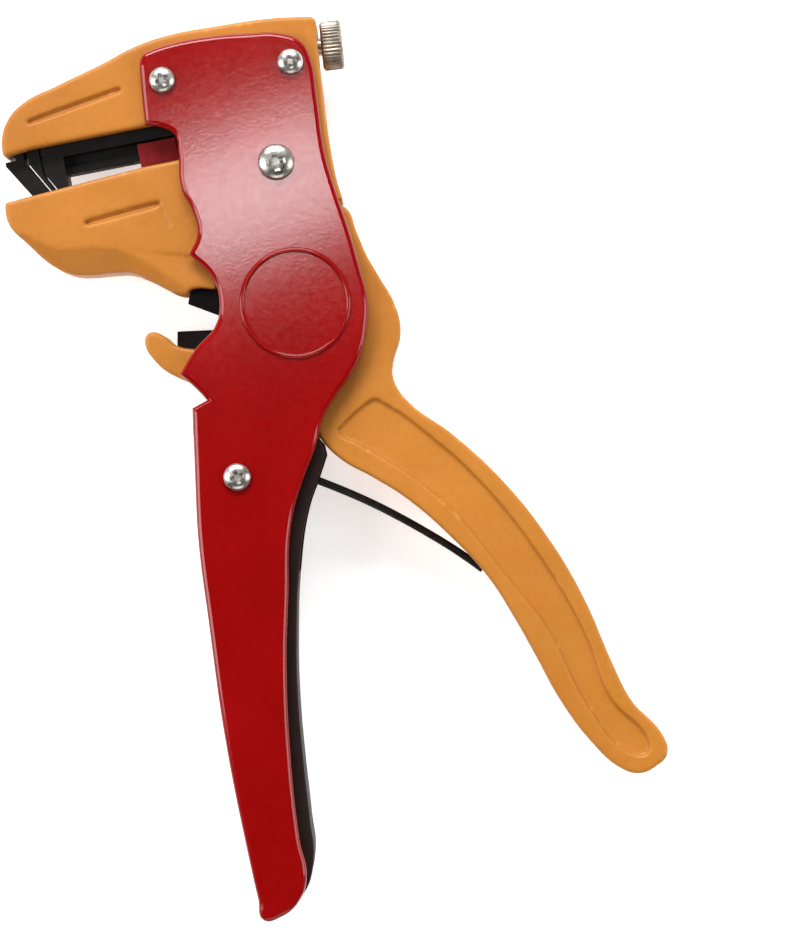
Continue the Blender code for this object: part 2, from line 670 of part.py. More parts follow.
def spring_groove_outline():
    """The groove in the lever's inner edge that takes the return spring's arm."""
    return [
        corner(23.0, -46.0), corner(26.2, -38.4), corner(31.2, -42.9), corner(38.2, -50.5),
        corner(43.6, -58.0), corner(47.8, -65.5), corner(51.5, -72.4), corner(44.0, -76.0),
    ]


def slide_of_pivot():
    """The lever's pivot, in the slide frame."""
    return Matrix.Rotation(-SLIDE_ANGLE, 2) @ (-JAW_PIVOT)


def add_lever_web(lever):
    """The web that reaches up from the hub to the drive pin, and the pin."""
    angle = SLIDE_ANGLE + math.pi / 2 + SQUEEZE_ANGLE / 2
    pin_at = Vector((DRIVE_RADIUS * math.cos(angle), DRIVE_RADIUS * math.sin(angle)))
    low, high = MID_Z - WEB_THICKNESS / 2, MID_Z + WEB_THICKNESS / 2
    web = slab("web", (WEB_START, DRIVE_RADIUS), (-WEB_WIDTH / 2, WEB_WIDTH / 2), WEB_THICKNESS / 2)
    web.data.transform(Matrix.Rotation(angle, 4, "Z"))
    join(lever, web, WORLD)
    join(lever, rod("web_eye", WEB_EYE, (*pin_at, low), (*pin_at, high)), WORLD)
    bore(lever, "drive_pin_hole", pin_at, DRIVE_PIN_RADIUS + GAP, low - GAP, high + GAP, WORLD)
    half = CARRIER_WIDTH / 2
    pin = rod("drive_pin", DRIVE_PIN_RADIUS, (*pin_at, MID_Z - half), (*pin_at, MID_Z + half))
    finish(pin, WORLD, "bright_steel")


def make_lever():
    half = LEVER_THICKNESS / 2
    low, high = MID_Z - half, MID_Z + half
    lever = middle_outline("handle_lever", lever_outline(), half)
    boss_low, boss_high = PLATE_THICKNESS + GAP, FRONT_Z - GAP
    boss = rod("hub_boss", HUB_RADIUS, (0, 0, boss_low), (0, 0, boss_high), steps=KNOB_STEPS)
    join(lever, boss, WORLD)
    add_lever_web(lever)
    bush_radius = MAIN_PIN_RADIUS + GAP + BUSH_WALL
    bore(lever, "hub_bore", (0, 0), bush_radius + GAP, boss_low - GAP, boss_high + GAP, WORLD)
    cutter_room = CUTTER_OFFSET + CUTTER_THICKNESS + GAP
    cut(lever, middle_outline("cutter_slot", cutter_slot_outline(), cutter_room), WORLD)
    bore(lever, "rivet_hole_lever", RIVET_PLACE, RIVET_RADIUS + GAP, low - GAP, high + GAP, WORLD)
    groove = middle_outline("spring_groove", spring_groove_outline(), SPRING_WIRE + GROOVE_ROOM)
    cut(lever, groove, WORLD)
    cut(lever, outline("panel_front", lever_panel(), high - PANEL_DEPTH, high + GAP, 3), WORLD)
    cut(lever, outline("panel_rear", lever_panel(), low - GAP, low + PANEL_DEPTH, 3), WORLD)
    finish(lever, WORLD, "yellow_paint")

    bush = rod("lever_bushing", bush_radius, (0, 0, boss_low + GAP), (0, 0, boss_high - GAP))
    bore(bush, "bushing_bore", (0, 0), MAIN_PIN_RADIUS + GAP, boss_low - GAP, boss_high + GAP, WORLD)
    finish(bush, WORLD, "bronze")


# ---------------------------------------------------------------- lower jaw

def jaw_outline():
    """The lower jaw, shut, in the jaw frame; its ear is centred on the pivot."""
    ear = arc((0, 0), EAR_RADIUS, 104.0, -112.0, 10)
    return [
        corner(-51.6, 6.2), corner(-24.0, 5.9), corner(-19.0, 5.55), *ear, smooth(-8.4, -5.4),
        smooth(-12.7, -11.6), smooth(-15.8, -16.6), corner(-17.1, -20.0), smooth(-21.75, -18.8),
        smooth(-23.05, -19.4), smooth(-24.65, -18.8), smooth(-27.25, -16.5), smooth(-30.02, -14.12),
        smooth(-32.23, -12.71), smooth(-35.75, -11.81), smooth(-39.88, -11.1), smooth(-42.9, -10.1),
        smooth(-46.02, -7.58), smooth(-49.84, -1.85), smooth(-51.55, 0.87), smooth(-52.05, 3.38),
    ]


def jaw_channel_outline():
    """The channel that the lower blade carrier and its grip pad lie in."""
    return [
        corner(-60.0, 9.0), corner(-60.0, 0.3), corner(-42.7, 0.3), corner(-42.7, -1.7),
        corner(-13.0, -1.7), corner(-13.0, -3.0), corner(-4.0, -14.0), corner(12.0, -14.0),
        corner(12.0, 9.0),
    ]


def jaw_hollow_outline():
    """The hollow under the channel's floor, open at the rear."""
    return [
        corner(-41.5, -3.9), corner(-41.5, -8.3), corner(-33.5, -10.2), corner(-30.2, -12.2),
        corner(-30.2, -30.0), corner(-5.0, -30.0), corner(-10.0, -3.9),
    ]


def make_lower_jaw():
    low, high = MID_Z - JAW_WIDTH / 2, MID_Z + JAW_WIDTH / 2
    half = CHANNEL_WIDTH / 2
    jaw = middle_outline("lower_jaw", jaw_outline(), JAW_WIDTH / 2)
    cut(jaw, middle_outline("jaw_channel", jaw_channel_outline(), half), JAW)
    cut(jaw, middle_outline("jaw_hollow", jaw_hollow_outline(), half), JAW)
    bush_outer = JAW_SCREW[1] + GAP + EAR_BUSH_WALL
    bore(jaw, "ear_holes", (0, 0), bush_outer + GAP, low - GAP, high + GAP, JAW)
    finish(jaw, JAW, "yellow_paint")

    for side, ear_low in (("rear", low), ("front", MID_Z + half)):
        ear_high = ear_low + (JAW_WIDTH - CHANNEL_WIDTH) / 2
        bush = rod(f"jaw_bush_{side}", bush_outer, (0, 0, ear_low + GAP), (0, 0, ear_high - GAP))
        bore(bush, f"jaw_bush_{side}_bore", (0, 0), JAW_SCREW[1] + GAP, ear_low - GAP, ear_high + GAP, JAW)
        finish(bush, JAW, "bronze")


def make_lower_pad():
    """The toothed pad that the cable is clamped against."""
    half = PAD_WIDTH / 2
    pad = slab("lower_grip_pad", LOWER_PAD_REACH, LOWER_PAD_LEVELS, half)
    width, depth = PAD_NOTCH
    levels = (LOWER_PAD_LEVELS[1] - depth, LOWER_PAD_LEVELS[1] + GAP)
    for tooth in range(PAD_TEETH):
        front = LOWER_PAD_REACH[0] + (tooth + 0.5) * PAD_PITCH
        cut(pad, slab(f"pad_notch_{tooth}", (front, front + width), levels, half + GAP), JAW)
    finish(pad, JAW, "black_steel")


def make_lower_carrier():
    half = CARRIER_WIDTH / 2
    bottom = FLOOR_TOP + GAP
    strip = slab("lower_blade_carrier", STRIP_REACH, (bottom, STRIP_TOP), half)
    front, rear = CARRIER_POST_REACH
    for side, inner, outer in (("rear", -half, -CARRIER_POST_INNER), ("front", CARRIER_POST_INNER, half)):
        corners = (front, bottom, MID_Z + inner), (rear, CARRIER_POST_TOP, MID_Z + outer)
        join(strip, box(f"carrier_post_{side}", *corners), JAW)
    finish(strip, JAW, "black_steel")

    points = [corner(-42.3, -1.4), corner(-42.3, 0.7), corner(-41.35, 1.3), corner(-41.35, -1.4)]
    blade = middle_outline("lower_stripping_blade", points, half)
    start, end, level = LOWER_SEAT
    cut(blade, spindle("lower_blade_notch", WIRE_SEAT, start, end, level, CLAMP_STEPS), JAW)
    finish(blade, JAW, "bright_steel")


# ---------------------------------------------------------------- upper carriage

def foot_outline():
    return [
        corner(-43.6, 10.0), corner(-43.6, 6.66), corner(-41.0, 2.0), corner(-39.6, 2.0),
        corner(-39.6, 10.0),
    ]


def make_upper_carrier():
    """A bar with a foot at the nose, a rail for the stop, a forked block and a lug for the spring."""
    half = CARRIER_WIDTH / 2
    pivot_u, pivot_n = slide_of_pivot()
    pin_u = pivot_u - DRIVE_RADIUS * math.sin(SQUEEZE_ANGLE / 2)
    rear = pin_u + DRIVE_PIN_RADIUS + FORK_WALL
    carrier = slab("upper_blade_carrier", (BAR_FRONT, rear), (BAR_BOTTOM, BAR_TOP), half)
    join(carrier, middle_outline("carrier_foot", foot_outline(), half), SLIDE)
    rail = (RAIL_FRONT, BLOCK_FRONT + OVERRUN)
    join(carrier, slab("rail_web", rail, RAIL_WEB, RAIL_WEB_HALF), SLIDE)
    join(carrier, slab("rail_flange", rail, RAIL_FLANGE, RAIL_FLANGE_HALF), SLIDE)
    join(carrier, slab("carrier_block", (BLOCK_FRONT, rear), (BLOCK_BOTTOM, MERGE_LEVEL), half), SLIDE)
    join(carrier, slab("carrier_lug", (LUG_REAR - LUG_LENGTH, LUG_REAR), LUG_LEVELS, LUG_HALF), SLIDE)
    guide = CLAMP_COIL - CLAMP_WIRE - GAP
    tip = LUG_REAR + SPIGOT_LENGTH
    join(carrier, spindle("spring_spigot", guide, LUG_REAR - OVERRUN, tip, ROD_N, SMALL_STEPS), SLIDE)

    levels = (0.0, BAR_TOP + OVERRUN)
    cut(carrier, slab("fork_slot", (FORK_FRONT, rear + OVERRUN), levels, WEB_THICKNESS / 2 + SLACK), SLIDE)
    room = DRIVE_PIN_RADIUS + GAP
    levels = (pivot_n + DRIVE_RADIUS * math.cos(SQUEEZE_ANGLE / 2) - room, pivot_n + DRIVE_RADIUS + room)
    cut(carrier, slab("pin_window", (pin_u - room, pin_u + room), levels, CARRIER_WIDTH), SLIDE)
    tap_radius = BLADE_SCREW_RADIUS + GAP
    tap_start, tap_end = BAR_FRONT - OVERRUN, BLADE_SCREW_TIP + GAP
    tap = spindle("screw_tap", tap_radius, tap_start, tap_end, BLADE_SCREW_LEVEL, SMALL_STEPS)
    cut(carrier, tap, SLIDE)
    finish(carrier, SLIDE, "black_steel")


def upper_blade_outline():
    return [
        corner(-42.5, 2.45), corner(-46.2, 9.08), corner(-46.2, 13.0), corner(-43.95, 13.0),
        corner(-43.95, 6.7), corner(-41.33, 1.6),
    ]


def make_upper_blade():
    blade = middle_outline("upper_stripping_blade", upper_blade_outline(), CARRIER_WIDTH / 2)
    hole_radius = BLADE_SCREW_RADIUS + GAP
    outside, sunk = BLADE_FRONT - OVERRUN, BLADE_FRONT + BLADE_SINK
    level = BLADE_SCREW_LEVEL
    cut(blade, spindle("blade_hole", hole_radius, outside, BAR_FRONT, level, SMALL_STEPS), SLIDE)
    cut(blade, spindle("blade_sink", BLADE_SINK_RADIUS, outside, sunk, level, SMALL_STEPS), SLIDE)
    start, end, seat_level = UPPER_SEAT
    cut(blade, spindle("upper_blade_notch", WIRE_SEAT, start, end, seat_level, CLAMP_STEPS), SLIDE)
    finish(blade, SLIDE, "black_steel")

    head_start, head_end = BLADE_FRONT + GAP / 2, sunk - GAP
    middle = (head_start + head_end) / 2
    screw = spindle("blade_screw", BLADE_SCREW_RADIUS, middle, BLADE_SCREW_TIP, level, SMALL_STEPS)
    join(screw, spindle("screw_head", BLADE_SCREW_HEAD, head_start, head_end, level, SMALL_STEPS), SLIDE)
    finish(screw, SLIDE, "bright_steel")


def make_length_stop():
    """The red stop for the stripped length: it slides along the rail, which fits a T slot through it."""
    reach = (STOP_REACH[0] - OVERRUN, STOP_REACH[1] + OVERRUN)
    low, high = RAIL_FLANGE
    stop = slab("length_stop", STOP_REACH, STOP_LEVELS, CARRIER_WIDTH / 2)
    cut(stop, slab("stop_neck", reach, (high, STOP_LEVELS[1] + OVERRUN), RAIL_WEB_HALF + GAP), SLIDE)
    cut(stop, slab("stop_slot", reach, (low - GAP, high + GAP), RAIL_FLANGE_HALF + GAP), SLIDE)
    finish(stop, SLIDE, "red_plastic")


# ---------------------------------------------------------------- adjuster and springs

def make_adjuster():
    seat_end = SEAT_U + SEAT_LENGTH
    guide = CLAMP_COIL - CLAMP_WIRE - GAP
    guide_start, guide_end = SEAT_U - SEAT_GUIDE_LENGTH, SEAT_U + OVERRUN
    seat = spindle("spring_seat", SEAT_RADIUS, SEAT_U, seat_end, ROD_N)
    join(seat, spindle("seat_guide", guide, guide_start, guide_end, ROD_N, SMALL_STEPS), SLIDE)
    finish(seat, SLIDE, "bright_steel")
    finish(spindle("adjuster_screw", SCREW_RADIUS, -SCREW_LENGTH, 0.0), ADJUST, "bright_steel")

    profile = [
        (0.0, KNOB_LENGTH), (KNOB_RADIUS - KNOB_CHAMFER, KNOB_LENGTH),
        (KNOB_RADIUS, KNOB_LENGTH - KNOB_CHAMFER), (KNOB_RADIUS, KNOB_CHAMFER),
        (KNOB_RADIUS - KNOB_CHAMFER, 0.0), (0.0, 0.0),
    ]
    knob = turned("adjuster_knob", profile, KNOB_STEPS)
    finish(knob, KNOB, "bright_steel")
    socket = rod("knob_socket", SCREW_RADIUS + GAP, (0, 0, -OVERRUN), (0, 0, KNOB_LENGTH / 2 + GAP))
    cut(knob, socket, KNOB)


def make_return_spring():
    """A torsion spring: a leg in the handle, a coil round its post and a long arm to the lever."""
    sweep = -(math.pi - SPRING_EXIT) - 2 * math.pi * SPRING_TURNS
    low = MID_Z - SPRING_RISE / 2
    points = [Vector((x, y, low)) for x, y in SPRING_LEG]
    count = SPRING_STEPS * SPRING_TURNS
    for step in range(count + 1):
        angle = math.pi + sweep * step / count
        rise = SPRING_RISE * step / count
        points.append(Vector((SPRING_COIL * math.cos(angle), SPRING_COIL * math.sin(angle), low + rise)))
    for number, (x, y) in enumerate(SPRING_ARM, 1):
        height = MID_Z + SPRING_RISE / 2 * (1 - min(1.0, number / SPRING_LEVEL_POINT))
        points.append(Vector((x - SPRING_POST.x, y - SPRING_POST.y, height)))
    finish(tube("return_spring", points, SPRING_WIRE), SPRING, "spring_steel")


def make_clamp_spring():
    start = LUG_REAR + GAP + CLAMP_WIRE
    end = SEAT_U - GAP - CLAMP_WIRE
    count = CLAMP_STEPS * CLAMP_TURNS
    points = []
    for step in range(count + 1):
        angle = 2 * math.pi * CLAMP_TURNS * step / count
        along = start + (end - start) * step / count
        points.append((along, ROD_N + CLAMP_COIL * math.cos(angle), MID_Z + CLAMP_COIL * math.sin(angle)))
    finish(tube("clamp_spring", points, CLAMP_WIRE, 1), SLIDE, "spring_steel")


# ---------------------------------------------------------------- assembly

clear_scene()
PARTS = new_collection("wire_stripper")
CUTTERS = new_collection("cutters")
MATERIALS = {name: new_material(name) for name in COLOURS}
WORLD = new_frame("lever_pivot")
SLIDE = new_frame("slide_frame", JAW_PIVOT, SLIDE_ANGLE)
JAW = new_frame("jaw_frame", JAW_PIVOT, SLIDE_ANGLE + JAW_OPENING)
SPRING = new_frame("spring_pivot", SPRING_POST)
ADJUST = new_frame("adjuster_axis", KNOB_CENTRE, ADJUSTER_ANGLE)
KNOB = new_frame("knob_axis", (-KNOB_LENGTH / 2, 0.0), 0.0, ADJUST)
KNOB.location.z = MID_Z
KNOB.rotation_euler = (0.0, math.pi / 2, 0.0)

make_side_plates()
make_head()
make_grip_core()
make_fasteners()
make_cutter()
make_lever()
make_lower_jaw()
make_lower_pad()
make_lower_carrier()
make_upper_carrier()
make_upper_blade()
make_length_stop()
make_adjuster()
make_return_spring()
make_clamp_spring()
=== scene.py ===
import json
import math

import bmesh
import bpy
from mathutils import Matrix, Vector


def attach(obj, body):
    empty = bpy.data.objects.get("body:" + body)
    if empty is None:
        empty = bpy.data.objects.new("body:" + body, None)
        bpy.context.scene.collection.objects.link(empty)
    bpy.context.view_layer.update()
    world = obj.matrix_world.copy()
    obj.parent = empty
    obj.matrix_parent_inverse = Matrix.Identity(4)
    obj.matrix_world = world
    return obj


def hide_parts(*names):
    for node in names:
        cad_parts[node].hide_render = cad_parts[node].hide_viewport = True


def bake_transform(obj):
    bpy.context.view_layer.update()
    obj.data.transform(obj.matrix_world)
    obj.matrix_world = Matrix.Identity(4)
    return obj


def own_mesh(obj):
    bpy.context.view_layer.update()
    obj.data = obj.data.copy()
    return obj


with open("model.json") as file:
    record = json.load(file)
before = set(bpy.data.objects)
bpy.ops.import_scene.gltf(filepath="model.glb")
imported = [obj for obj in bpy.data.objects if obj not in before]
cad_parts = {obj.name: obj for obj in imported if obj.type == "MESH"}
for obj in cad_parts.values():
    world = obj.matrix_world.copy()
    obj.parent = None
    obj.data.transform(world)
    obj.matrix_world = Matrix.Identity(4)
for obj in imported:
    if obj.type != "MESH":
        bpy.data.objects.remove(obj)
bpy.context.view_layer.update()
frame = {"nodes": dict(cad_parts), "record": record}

# Every piece is drawn in millimetres, and dress() scales it to metres.
MM = 0.001
PLATE_THICKNESS = 2.0
FRONT = 20.4        # back face of the front plate
TOP = 22.4          # front face of the front plate
MID = 11.2          # middle plane of the tool
CAST = 8.9          # half width of the castings and the grip core
CHANNEL = 5.4       # half width of the channel in both jaws
JAW_HALF = 8.7
LEVER_HALF = 7.2
PAD_HALF = 5.1
WAIST, REACH = -40.8, 75.5
GROOVE_WIDTH, GROOVE_DEPTH = 0.95, 0.9
PANEL_DEPTH = 0.8
BLADE_INNER, BLADE_OUTER = 0.15, 2.05   # a cutter blade's two faces, from the middle plane
RIVET = (-17.2, -10.7)
CUTTER_POST = (-12.2, 4.4)
DRIVE_RADIUS, DRIVE_LEAD = 36.7, 10.5
SMALL_HEAD, PIVOT_HEAD, POST_HEAD = 2.45, 3.4, 2.6
SMALL_SHANK, PIVOT_SHANK, POST_SHANK = 1.2, 2.2, 1.3
SEAT_GAP = 0.3      # between a screw and the plate, and round its shank
COIL_RADIUS, COIL_HALF, COIL_WIRE = 4.5, 3.1, 0.75
CLAMP_RADIUS, CLAMP_LEVEL, CLAMP_WIRE = 1.8, 20.8, 0.4
J = Vector((-3.58, 26.54))
S1, S2, S3 = Vector((-25.04, 41.98)), Vector((-0.94, 45.37)), Vector((-10.92, -32.76))
TILT = math.radians(11.13)
OPENING = math.radians(4.0)
WORLD = Matrix.Identity(4)
SLIDE = Matrix.Translation((*J, 0)) @ Matrix.Rotation(TILT, 4, "Z")
JAW = Matrix.Translation((*J, 0)) @ Matrix.Rotation(TILT + OPENING, 4, "Z")
ADJUST = Matrix.Translation((6.75, 49.7, 0)) @ Matrix.Rotation(math.radians(6.0), 4, "Z")
SCALE = Matrix.Scale(MM, 4)


# ------------------------------------------------------------------ mesh helpers

def s(x, y):
    """A smooth point of an outline."""
    return (x, y, "AUTO")


def c(x, y):
    """A corner of an outline."""
    return (x, y, "VECTOR")


def h(x, share):
    """A smooth point at a share of the fixed handle's reach."""
    return (x, WAIST - share * REACH, "AUTO")


def slide_c(u, n):
    """A corner given in the carriage's frame."""
    p = SLIDE @ Vector((u, n, 0))
    return (p.x, p.y, "VECTOR")


def arc(centre, radius, start, end, count):
    points = []
    for i in range(count):
        a = math.radians(start + (end - start) * i / (count - 1))
        points.append((centre[0] + radius * math.cos(a), centre[1] + radius * math.sin(a), "AUTO"))
    return points


def link(obj):
    bpy.context.scene.collection.objects.link(obj)
    return obj


def tidy_mesh(mesh, dist=0.004):
    bm = bmesh.new()
    bm.from_mesh(mesh)
    bmesh.ops.remove_doubles(bm, verts=bm.verts, dist=dist)
    bmesh.ops.dissolve_degenerate(bm, edges=bm.edges, dist=dist / 4)
    bmesh.ops.recalc_face_normals(bm, faces=bm.faces)
    bm.to_mesh(mesh)
    bm.free()


def evaluated_mesh(obj):
    """A new mesh of the object as its modifiers leave it."""
    depsgraph = bpy.context.evaluated_depsgraph_get()
    return bpy.data.meshes.new_from_object(obj.evaluated_get(depsgraph))


def solid(name, points, z0, z1, rounding=0.0, steps=9, place_in=WORLD):
    """A flat outline as a solid, its edges rounded, in the frame given (millimetres)."""
    curve = bpy.data.curves.new(name, "CURVE")
    curve.dimensions = "2D"
    curve.fill_mode = "BOTH"
    curve.resolution_u = steps
    curve.extrude = (z1 - z0) / 2 - rounding
    curve.bevel_depth = rounding
    curve.bevel_resolution = 3
    curve.offset = -rounding
    spline = curve.splines.new("BEZIER")
    spline.bezier_points.add(len(points) - 1)
    spline.use_cyclic_u = True
    for knot, (x, y, kind) in zip(spline.bezier_points, points):
        knot.co = (x, y, 0.0)
        knot.handle_left_type = knot.handle_right_type = kind
    guide = link(bpy.data.objects.new(name, curve))
    mesh = evaluated_mesh(guide)
    bpy.data.objects.remove(guide)
    tidy_mesh(mesh)
    mesh.transform(place_in @ Matrix.Translation((0, 0, (z0 + z1) / 2)))
    return link(bpy.data.objects.new(name, mesh))


def from_bmesh(name, bm):
    mesh = bpy.data.meshes.new(name)
    bmesh.ops.recalc_face_normals(bm, faces=bm.faces)
    bm.to_mesh(mesh)
    bm.free()
    return link(bpy.data.objects.new(name, mesh))


def block(name, low, high, place_in=WORLD):
    bm = bmesh.new()
    bmesh.ops.create_cube(bm, size=1.0)
    low, high = Vector(low), Vector(high)
    bm.transform(place_in @ Matrix.Translation((low + high) / 2) @ Matrix.Diagonal((*(high - low), 1)))
    return from_bmesh(name, bm)


def bar(name, radius, start, end, tip=None, steps=40, place_in=WORLD):
    bm = bmesh.new()
    start, end = Vector(start), Vector(end)
    along = end - start
    bmesh.ops.create_cone(bm, cap_ends=True, segments=steps, radius1=radius,
                          radius2=radius if tip is None else tip, depth=along.length)
    turn = Vector((0, 0, 1)).rotation_difference(along).to_matrix().to_4x4()
    bm.transform(place_in @ Matrix.Translation((start + end) / 2) @ turn)
    return from_bmesh(name, bm)


def lathe(name, profile, steps=48, shape=None):
    """A closed solid turned about Z; shape(angle, radius, height) may change a ring point's radius."""
    bm = bmesh.new()
    rings = []
    for radius, height in profile:
        if radius == 0:
            rings.append([bm.verts.new((0, 0, height))])
            continue
        ring = []
        for i in range(steps):
            a = 2 * math.pi * i / steps
            r = shape(a, radius, height) if shape else radius
            ring.append(bm.verts.new((r * math.cos(a), r * math.sin(a), height)))
        rings.append(ring)
    for one, two in zip(rings, rings[1:]):
        for i in range(steps):
            k = (i + 1) % steps
            quad = [one[i % len(one)], one[k % len(one)], two[k % len(two)], two[i % len(two)]]
            bm.faces.new(list(dict.fromkeys(quad)))
    return from_bmesh(name, bm)


def torus(name, major, minor, height, steps=96, sides=16):
    bm = bmesh.new()
    rings = []
    for i in range(steps):
        a = 2 * math.pi * i / steps
        ring = []
        for k in range(sides):
            b = 2 * math.pi * k / sides
            r = major + minor * math.cos(b)
            ring.append(bm.verts.new((r * math.cos(a), r * math.sin(a), height + minor * math.sin(b))))
        rings.append(ring)
    for i in range(steps):
        for k in range(sides):
            m = (k + 1) % sides
            nxt = rings[(i + 1) % steps]
            bm.faces.new((rings[i][k], nxt[k], nxt[m], rings[i][m]))
    return from_bmesh(name, bm)


def catmull(points, per):
    """Points on a smooth curve through the given ones."""
    pts = [Vector(p) for p in points]
    out = []
    for i in range(len(pts) - 1):
        a, b, d, e = pts[max(i - 1, 0)], pts[i], pts[i + 1], pts[min(i + 2, len(pts) - 1)]
        for k in range(per):
            t = k / per
            out.append(0.5 * ((2 * b) + (d - a) * t + (2 * a - 5 * b + 4 * d - e) * t * t
                              + (3 * b - a - 3 * d + e) * t ** 3))
    out.append(pts[-1])
    return out


def wire(name, points, radius, resolution=3):
    curve = bpy.data.curves.new(name, "CURVE")
    curve.dimensions = "3D"
    curve.bevel_depth = radius
    curve.bevel_resolution = resolution
    curve.use_fill_caps = True
    spline = curve.splines.new("POLY")
    spline.points.add(len(points) - 1)
    for knot, point in zip(spline.points, points):
        knot.co = (*point, 1.0)
    guide = link(bpy.data.objects.new(name, curve))
    mesh = evaluated_mesh(guide)
    bpy.data.objects.remove(guide)
    tidy_mesh(mesh)
    return link(bpy.data.objects.new(name, mesh))


def bake_modifiers(obj):
    """Replaces the mesh by its evaluated one."""
    old = obj.data
    mesh = evaluated_mesh(obj)
    obj.modifiers.clear()
    obj.data = mesh
    bpy.data.meshes.remove(old)


def carve(obj, *tools, union=False):
    for tool in tools:
        modifier = obj.modifiers.new("shape", "BOOLEAN")
        modifier.operation = "UNION" if union else "DIFFERENCE"
        modifier.solver = "EXACT"
        modifier.object = tool
    bake_modifiers(obj)
    for tool in tools:
        bpy.data.objects.remove(tool)
    return obj


def cast(obj, voxel=0.34, passes=5):
    """Softens a casting: every edge and corner gets the small radius of a mould."""
    remesh = obj.modifiers.new("cast", "REMESH")
    remesh.mode = "VOXEL"
    remesh.voxel_size = voxel
    smooth = obj.modifiers.new("soften", "SMOOTH")
    smooth.factor = 0.5
    smooth.iterations = passes
    bake_modifiers(obj)
    return obj


def soften(obj, width=0.18, angle=40, segments=2):
    """A small rounding of every sharp edge."""
    bevel = obj.modifiers.new("edges", "BEVEL")
    bevel.width = width
    bevel.segments = segments
    bevel.limit_method = "ANGLE"
    bevel.angle_limit = math.radians(angle)
    bake_modifiers(obj)
    return obj


def dress(obj, body, material, slot, *nodes, smooth_angle=32, weighted=True, flat=False):
    """Finishes a piece: metres, shading, material, body and the CAD nodes that it stands for."""
    obj.data.transform(SCALE)
    obj.data.materials.clear()
    obj.data.materials.append(material)
    obj.data.shade_smooth()
    obj.data.set_sharp_from_angle(angle=math.radians(smooth_angle))
    if flat:
        for polygon in obj.data.polygons:
            if abs(polygon.normal.z) > 0.999:
                polygon.use_smooth = False
    if weighted:
        normals = obj.modifiers.new("normals", "WEIGHTED_NORMAL")
        normals.keep_sharp = True
    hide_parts(*nodes)
    if body:
        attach(obj, body)
    return obj


# ------------------------------------------------------------------ materials

def shader_nodes(name):
    material = bpy.data.materials.new(name)
    material.use_nodes = True
    tree = material.node_tree
    where = tree.nodes.new("ShaderNodeTexCoord")
    return material, tree, tree.nodes["Principled BSDF"], where.outputs["Object"]


def noise(tree, where, scale, detail=3.0, stretch=None, rough=0.55):
    if stretch:
        mapping = tree.nodes.new("ShaderNodeMapping")
        mapping.inputs["Scale"].default_value = stretch
        tree.links.new(where, mapping.inputs["Vector"])
        where = mapping.outputs["Vector"]
    made = tree.nodes.new("ShaderNodeTexNoise")
    made.inputs["Scale"].default_value = scale
    made.inputs["Detail"].default_value = detail
    made.inputs["Roughness"].default_value = rough
    tree.links.new(where, made.inputs["Vector"])
    return made.outputs["Fac"]


def ramp(tree, fac, stops):
    made = tree.nodes.new("ShaderNodeValToRGB")
    tree.links.new(fac, made.inputs["Fac"])
    elements = made.color_ramp.elements
    while len(elements) < len(stops):
        elements.new(0.5)
    for element, (position, colour) in zip(elements, stops):
        element.position = position
        element.color = (*colour, 1.0)
    return made.outputs["Color"]


def mix(tree, fac, one, two, kind="MIX"):
    made = tree.nodes.new("ShaderNodeMix")
    made.data_type = "RGBA"
    made.blend_type = kind
    if isinstance(fac, float):
        made.inputs[0].default_value = fac
    else:
        tree.links.new(fac, made.inputs[0])
    tree.links.new(one, made.inputs[6])
    tree.links.new(two, made.inputs[7])
    return made.outputs[2]


def span(tree, fac, low, high, start=0.3, end=0.7):
    made = tree.nodes.new("ShaderNodeMapRange")
    made.inputs["From Min"].default_value = start
    made.inputs["From Max"].default_value = end
    made.inputs["To Min"].default_value = low
    made.inputs["To Max"].default_value = high
    tree.links.new(fac, made.inputs["Value"])
    return made.outputs["Result"]


def bump(tree, shader, layers):
    """Stacks bump layers of (height, strength, distance in metres)."""
    normal = None
    for height, strength, distance in layers:
        made = tree.nodes.new("ShaderNodeBump")
        made.inputs["Strength"].default_value = strength
        made.inputs["Distance"].default_value = distance
        tree.links.new(height, made.inputs["Height"])
        if normal:
            tree.links.new(normal, made.inputs["Normal"])
        normal = made.outputs["Normal"]
    tree.links.new(normal, shader.inputs["Normal"])


def rim_tint_and_hollow_shade(tree, colour, edge, hollow_shade, amount=(0.5, 0.5)):
    """Lighter rims, and painted shade darkening the hollows, from the mesh's own curvature."""
    shape = tree.nodes.new("ShaderNodeNewGeometry").outputs["Pointiness"]
    grey = [(0.0, (0, 0, 0)), (1.0, (1, 1, 1))]
    rim = ramp(tree, span(tree, shape, 0.0, amount[0], 0.52, 0.60), grey)
    # painted shade: where the mesh is hollow the colour is darkened towards the dark brown, standing for
    # the shade in creases and grooves
    hollow_shade_mask = ramp(tree, span(tree, shape, amount[1], 0.0, 0.40, 0.485), grey)
    tint_rim = ramp(tree, shape, [(0.0, edge), (1.0, edge)])
    hollow_shade_tint = ramp(tree, shape, [(0.0, hollow_shade), (1.0, hollow_shade)])
    return mix(tree, hollow_shade_mask, mix(tree, rim, colour, tint_rim), hollow_shade_tint)


def red_enamel():
    material, tree, shader, where = shader_nodes("red_enamel")
    reds = [(0.3, (0.25, 0.0018, 0.002)), (0.7, (0.31, 0.003, 0.0032))]
    cloud = ramp(tree, noise(tree, where, 55, 4), reds)
    fleck = ramp(tree, noise(tree, where, 1500, 2), [(0.35, (0.80, 0.7, 0.7)), (0.62, (1, 1, 1))])
    tree.links.new(mix(tree, 0.35, cloud, fleck, "MULTIPLY"), shader.inputs["Base Color"])
    peel = noise(tree, where, 620, 2.5)
    dust = noise(tree, where, 1700, 3)
    tree.links.new(span(tree, noise(tree, where, 900, 3), 0.08, 0.115), shader.inputs["Roughness"])
    bump(tree, shader, [(peel, 0.03, 0.00012), (dust, 0.14, 0.00003)])
    shader.inputs["Specular IOR Level"].default_value = 0.4
    return material


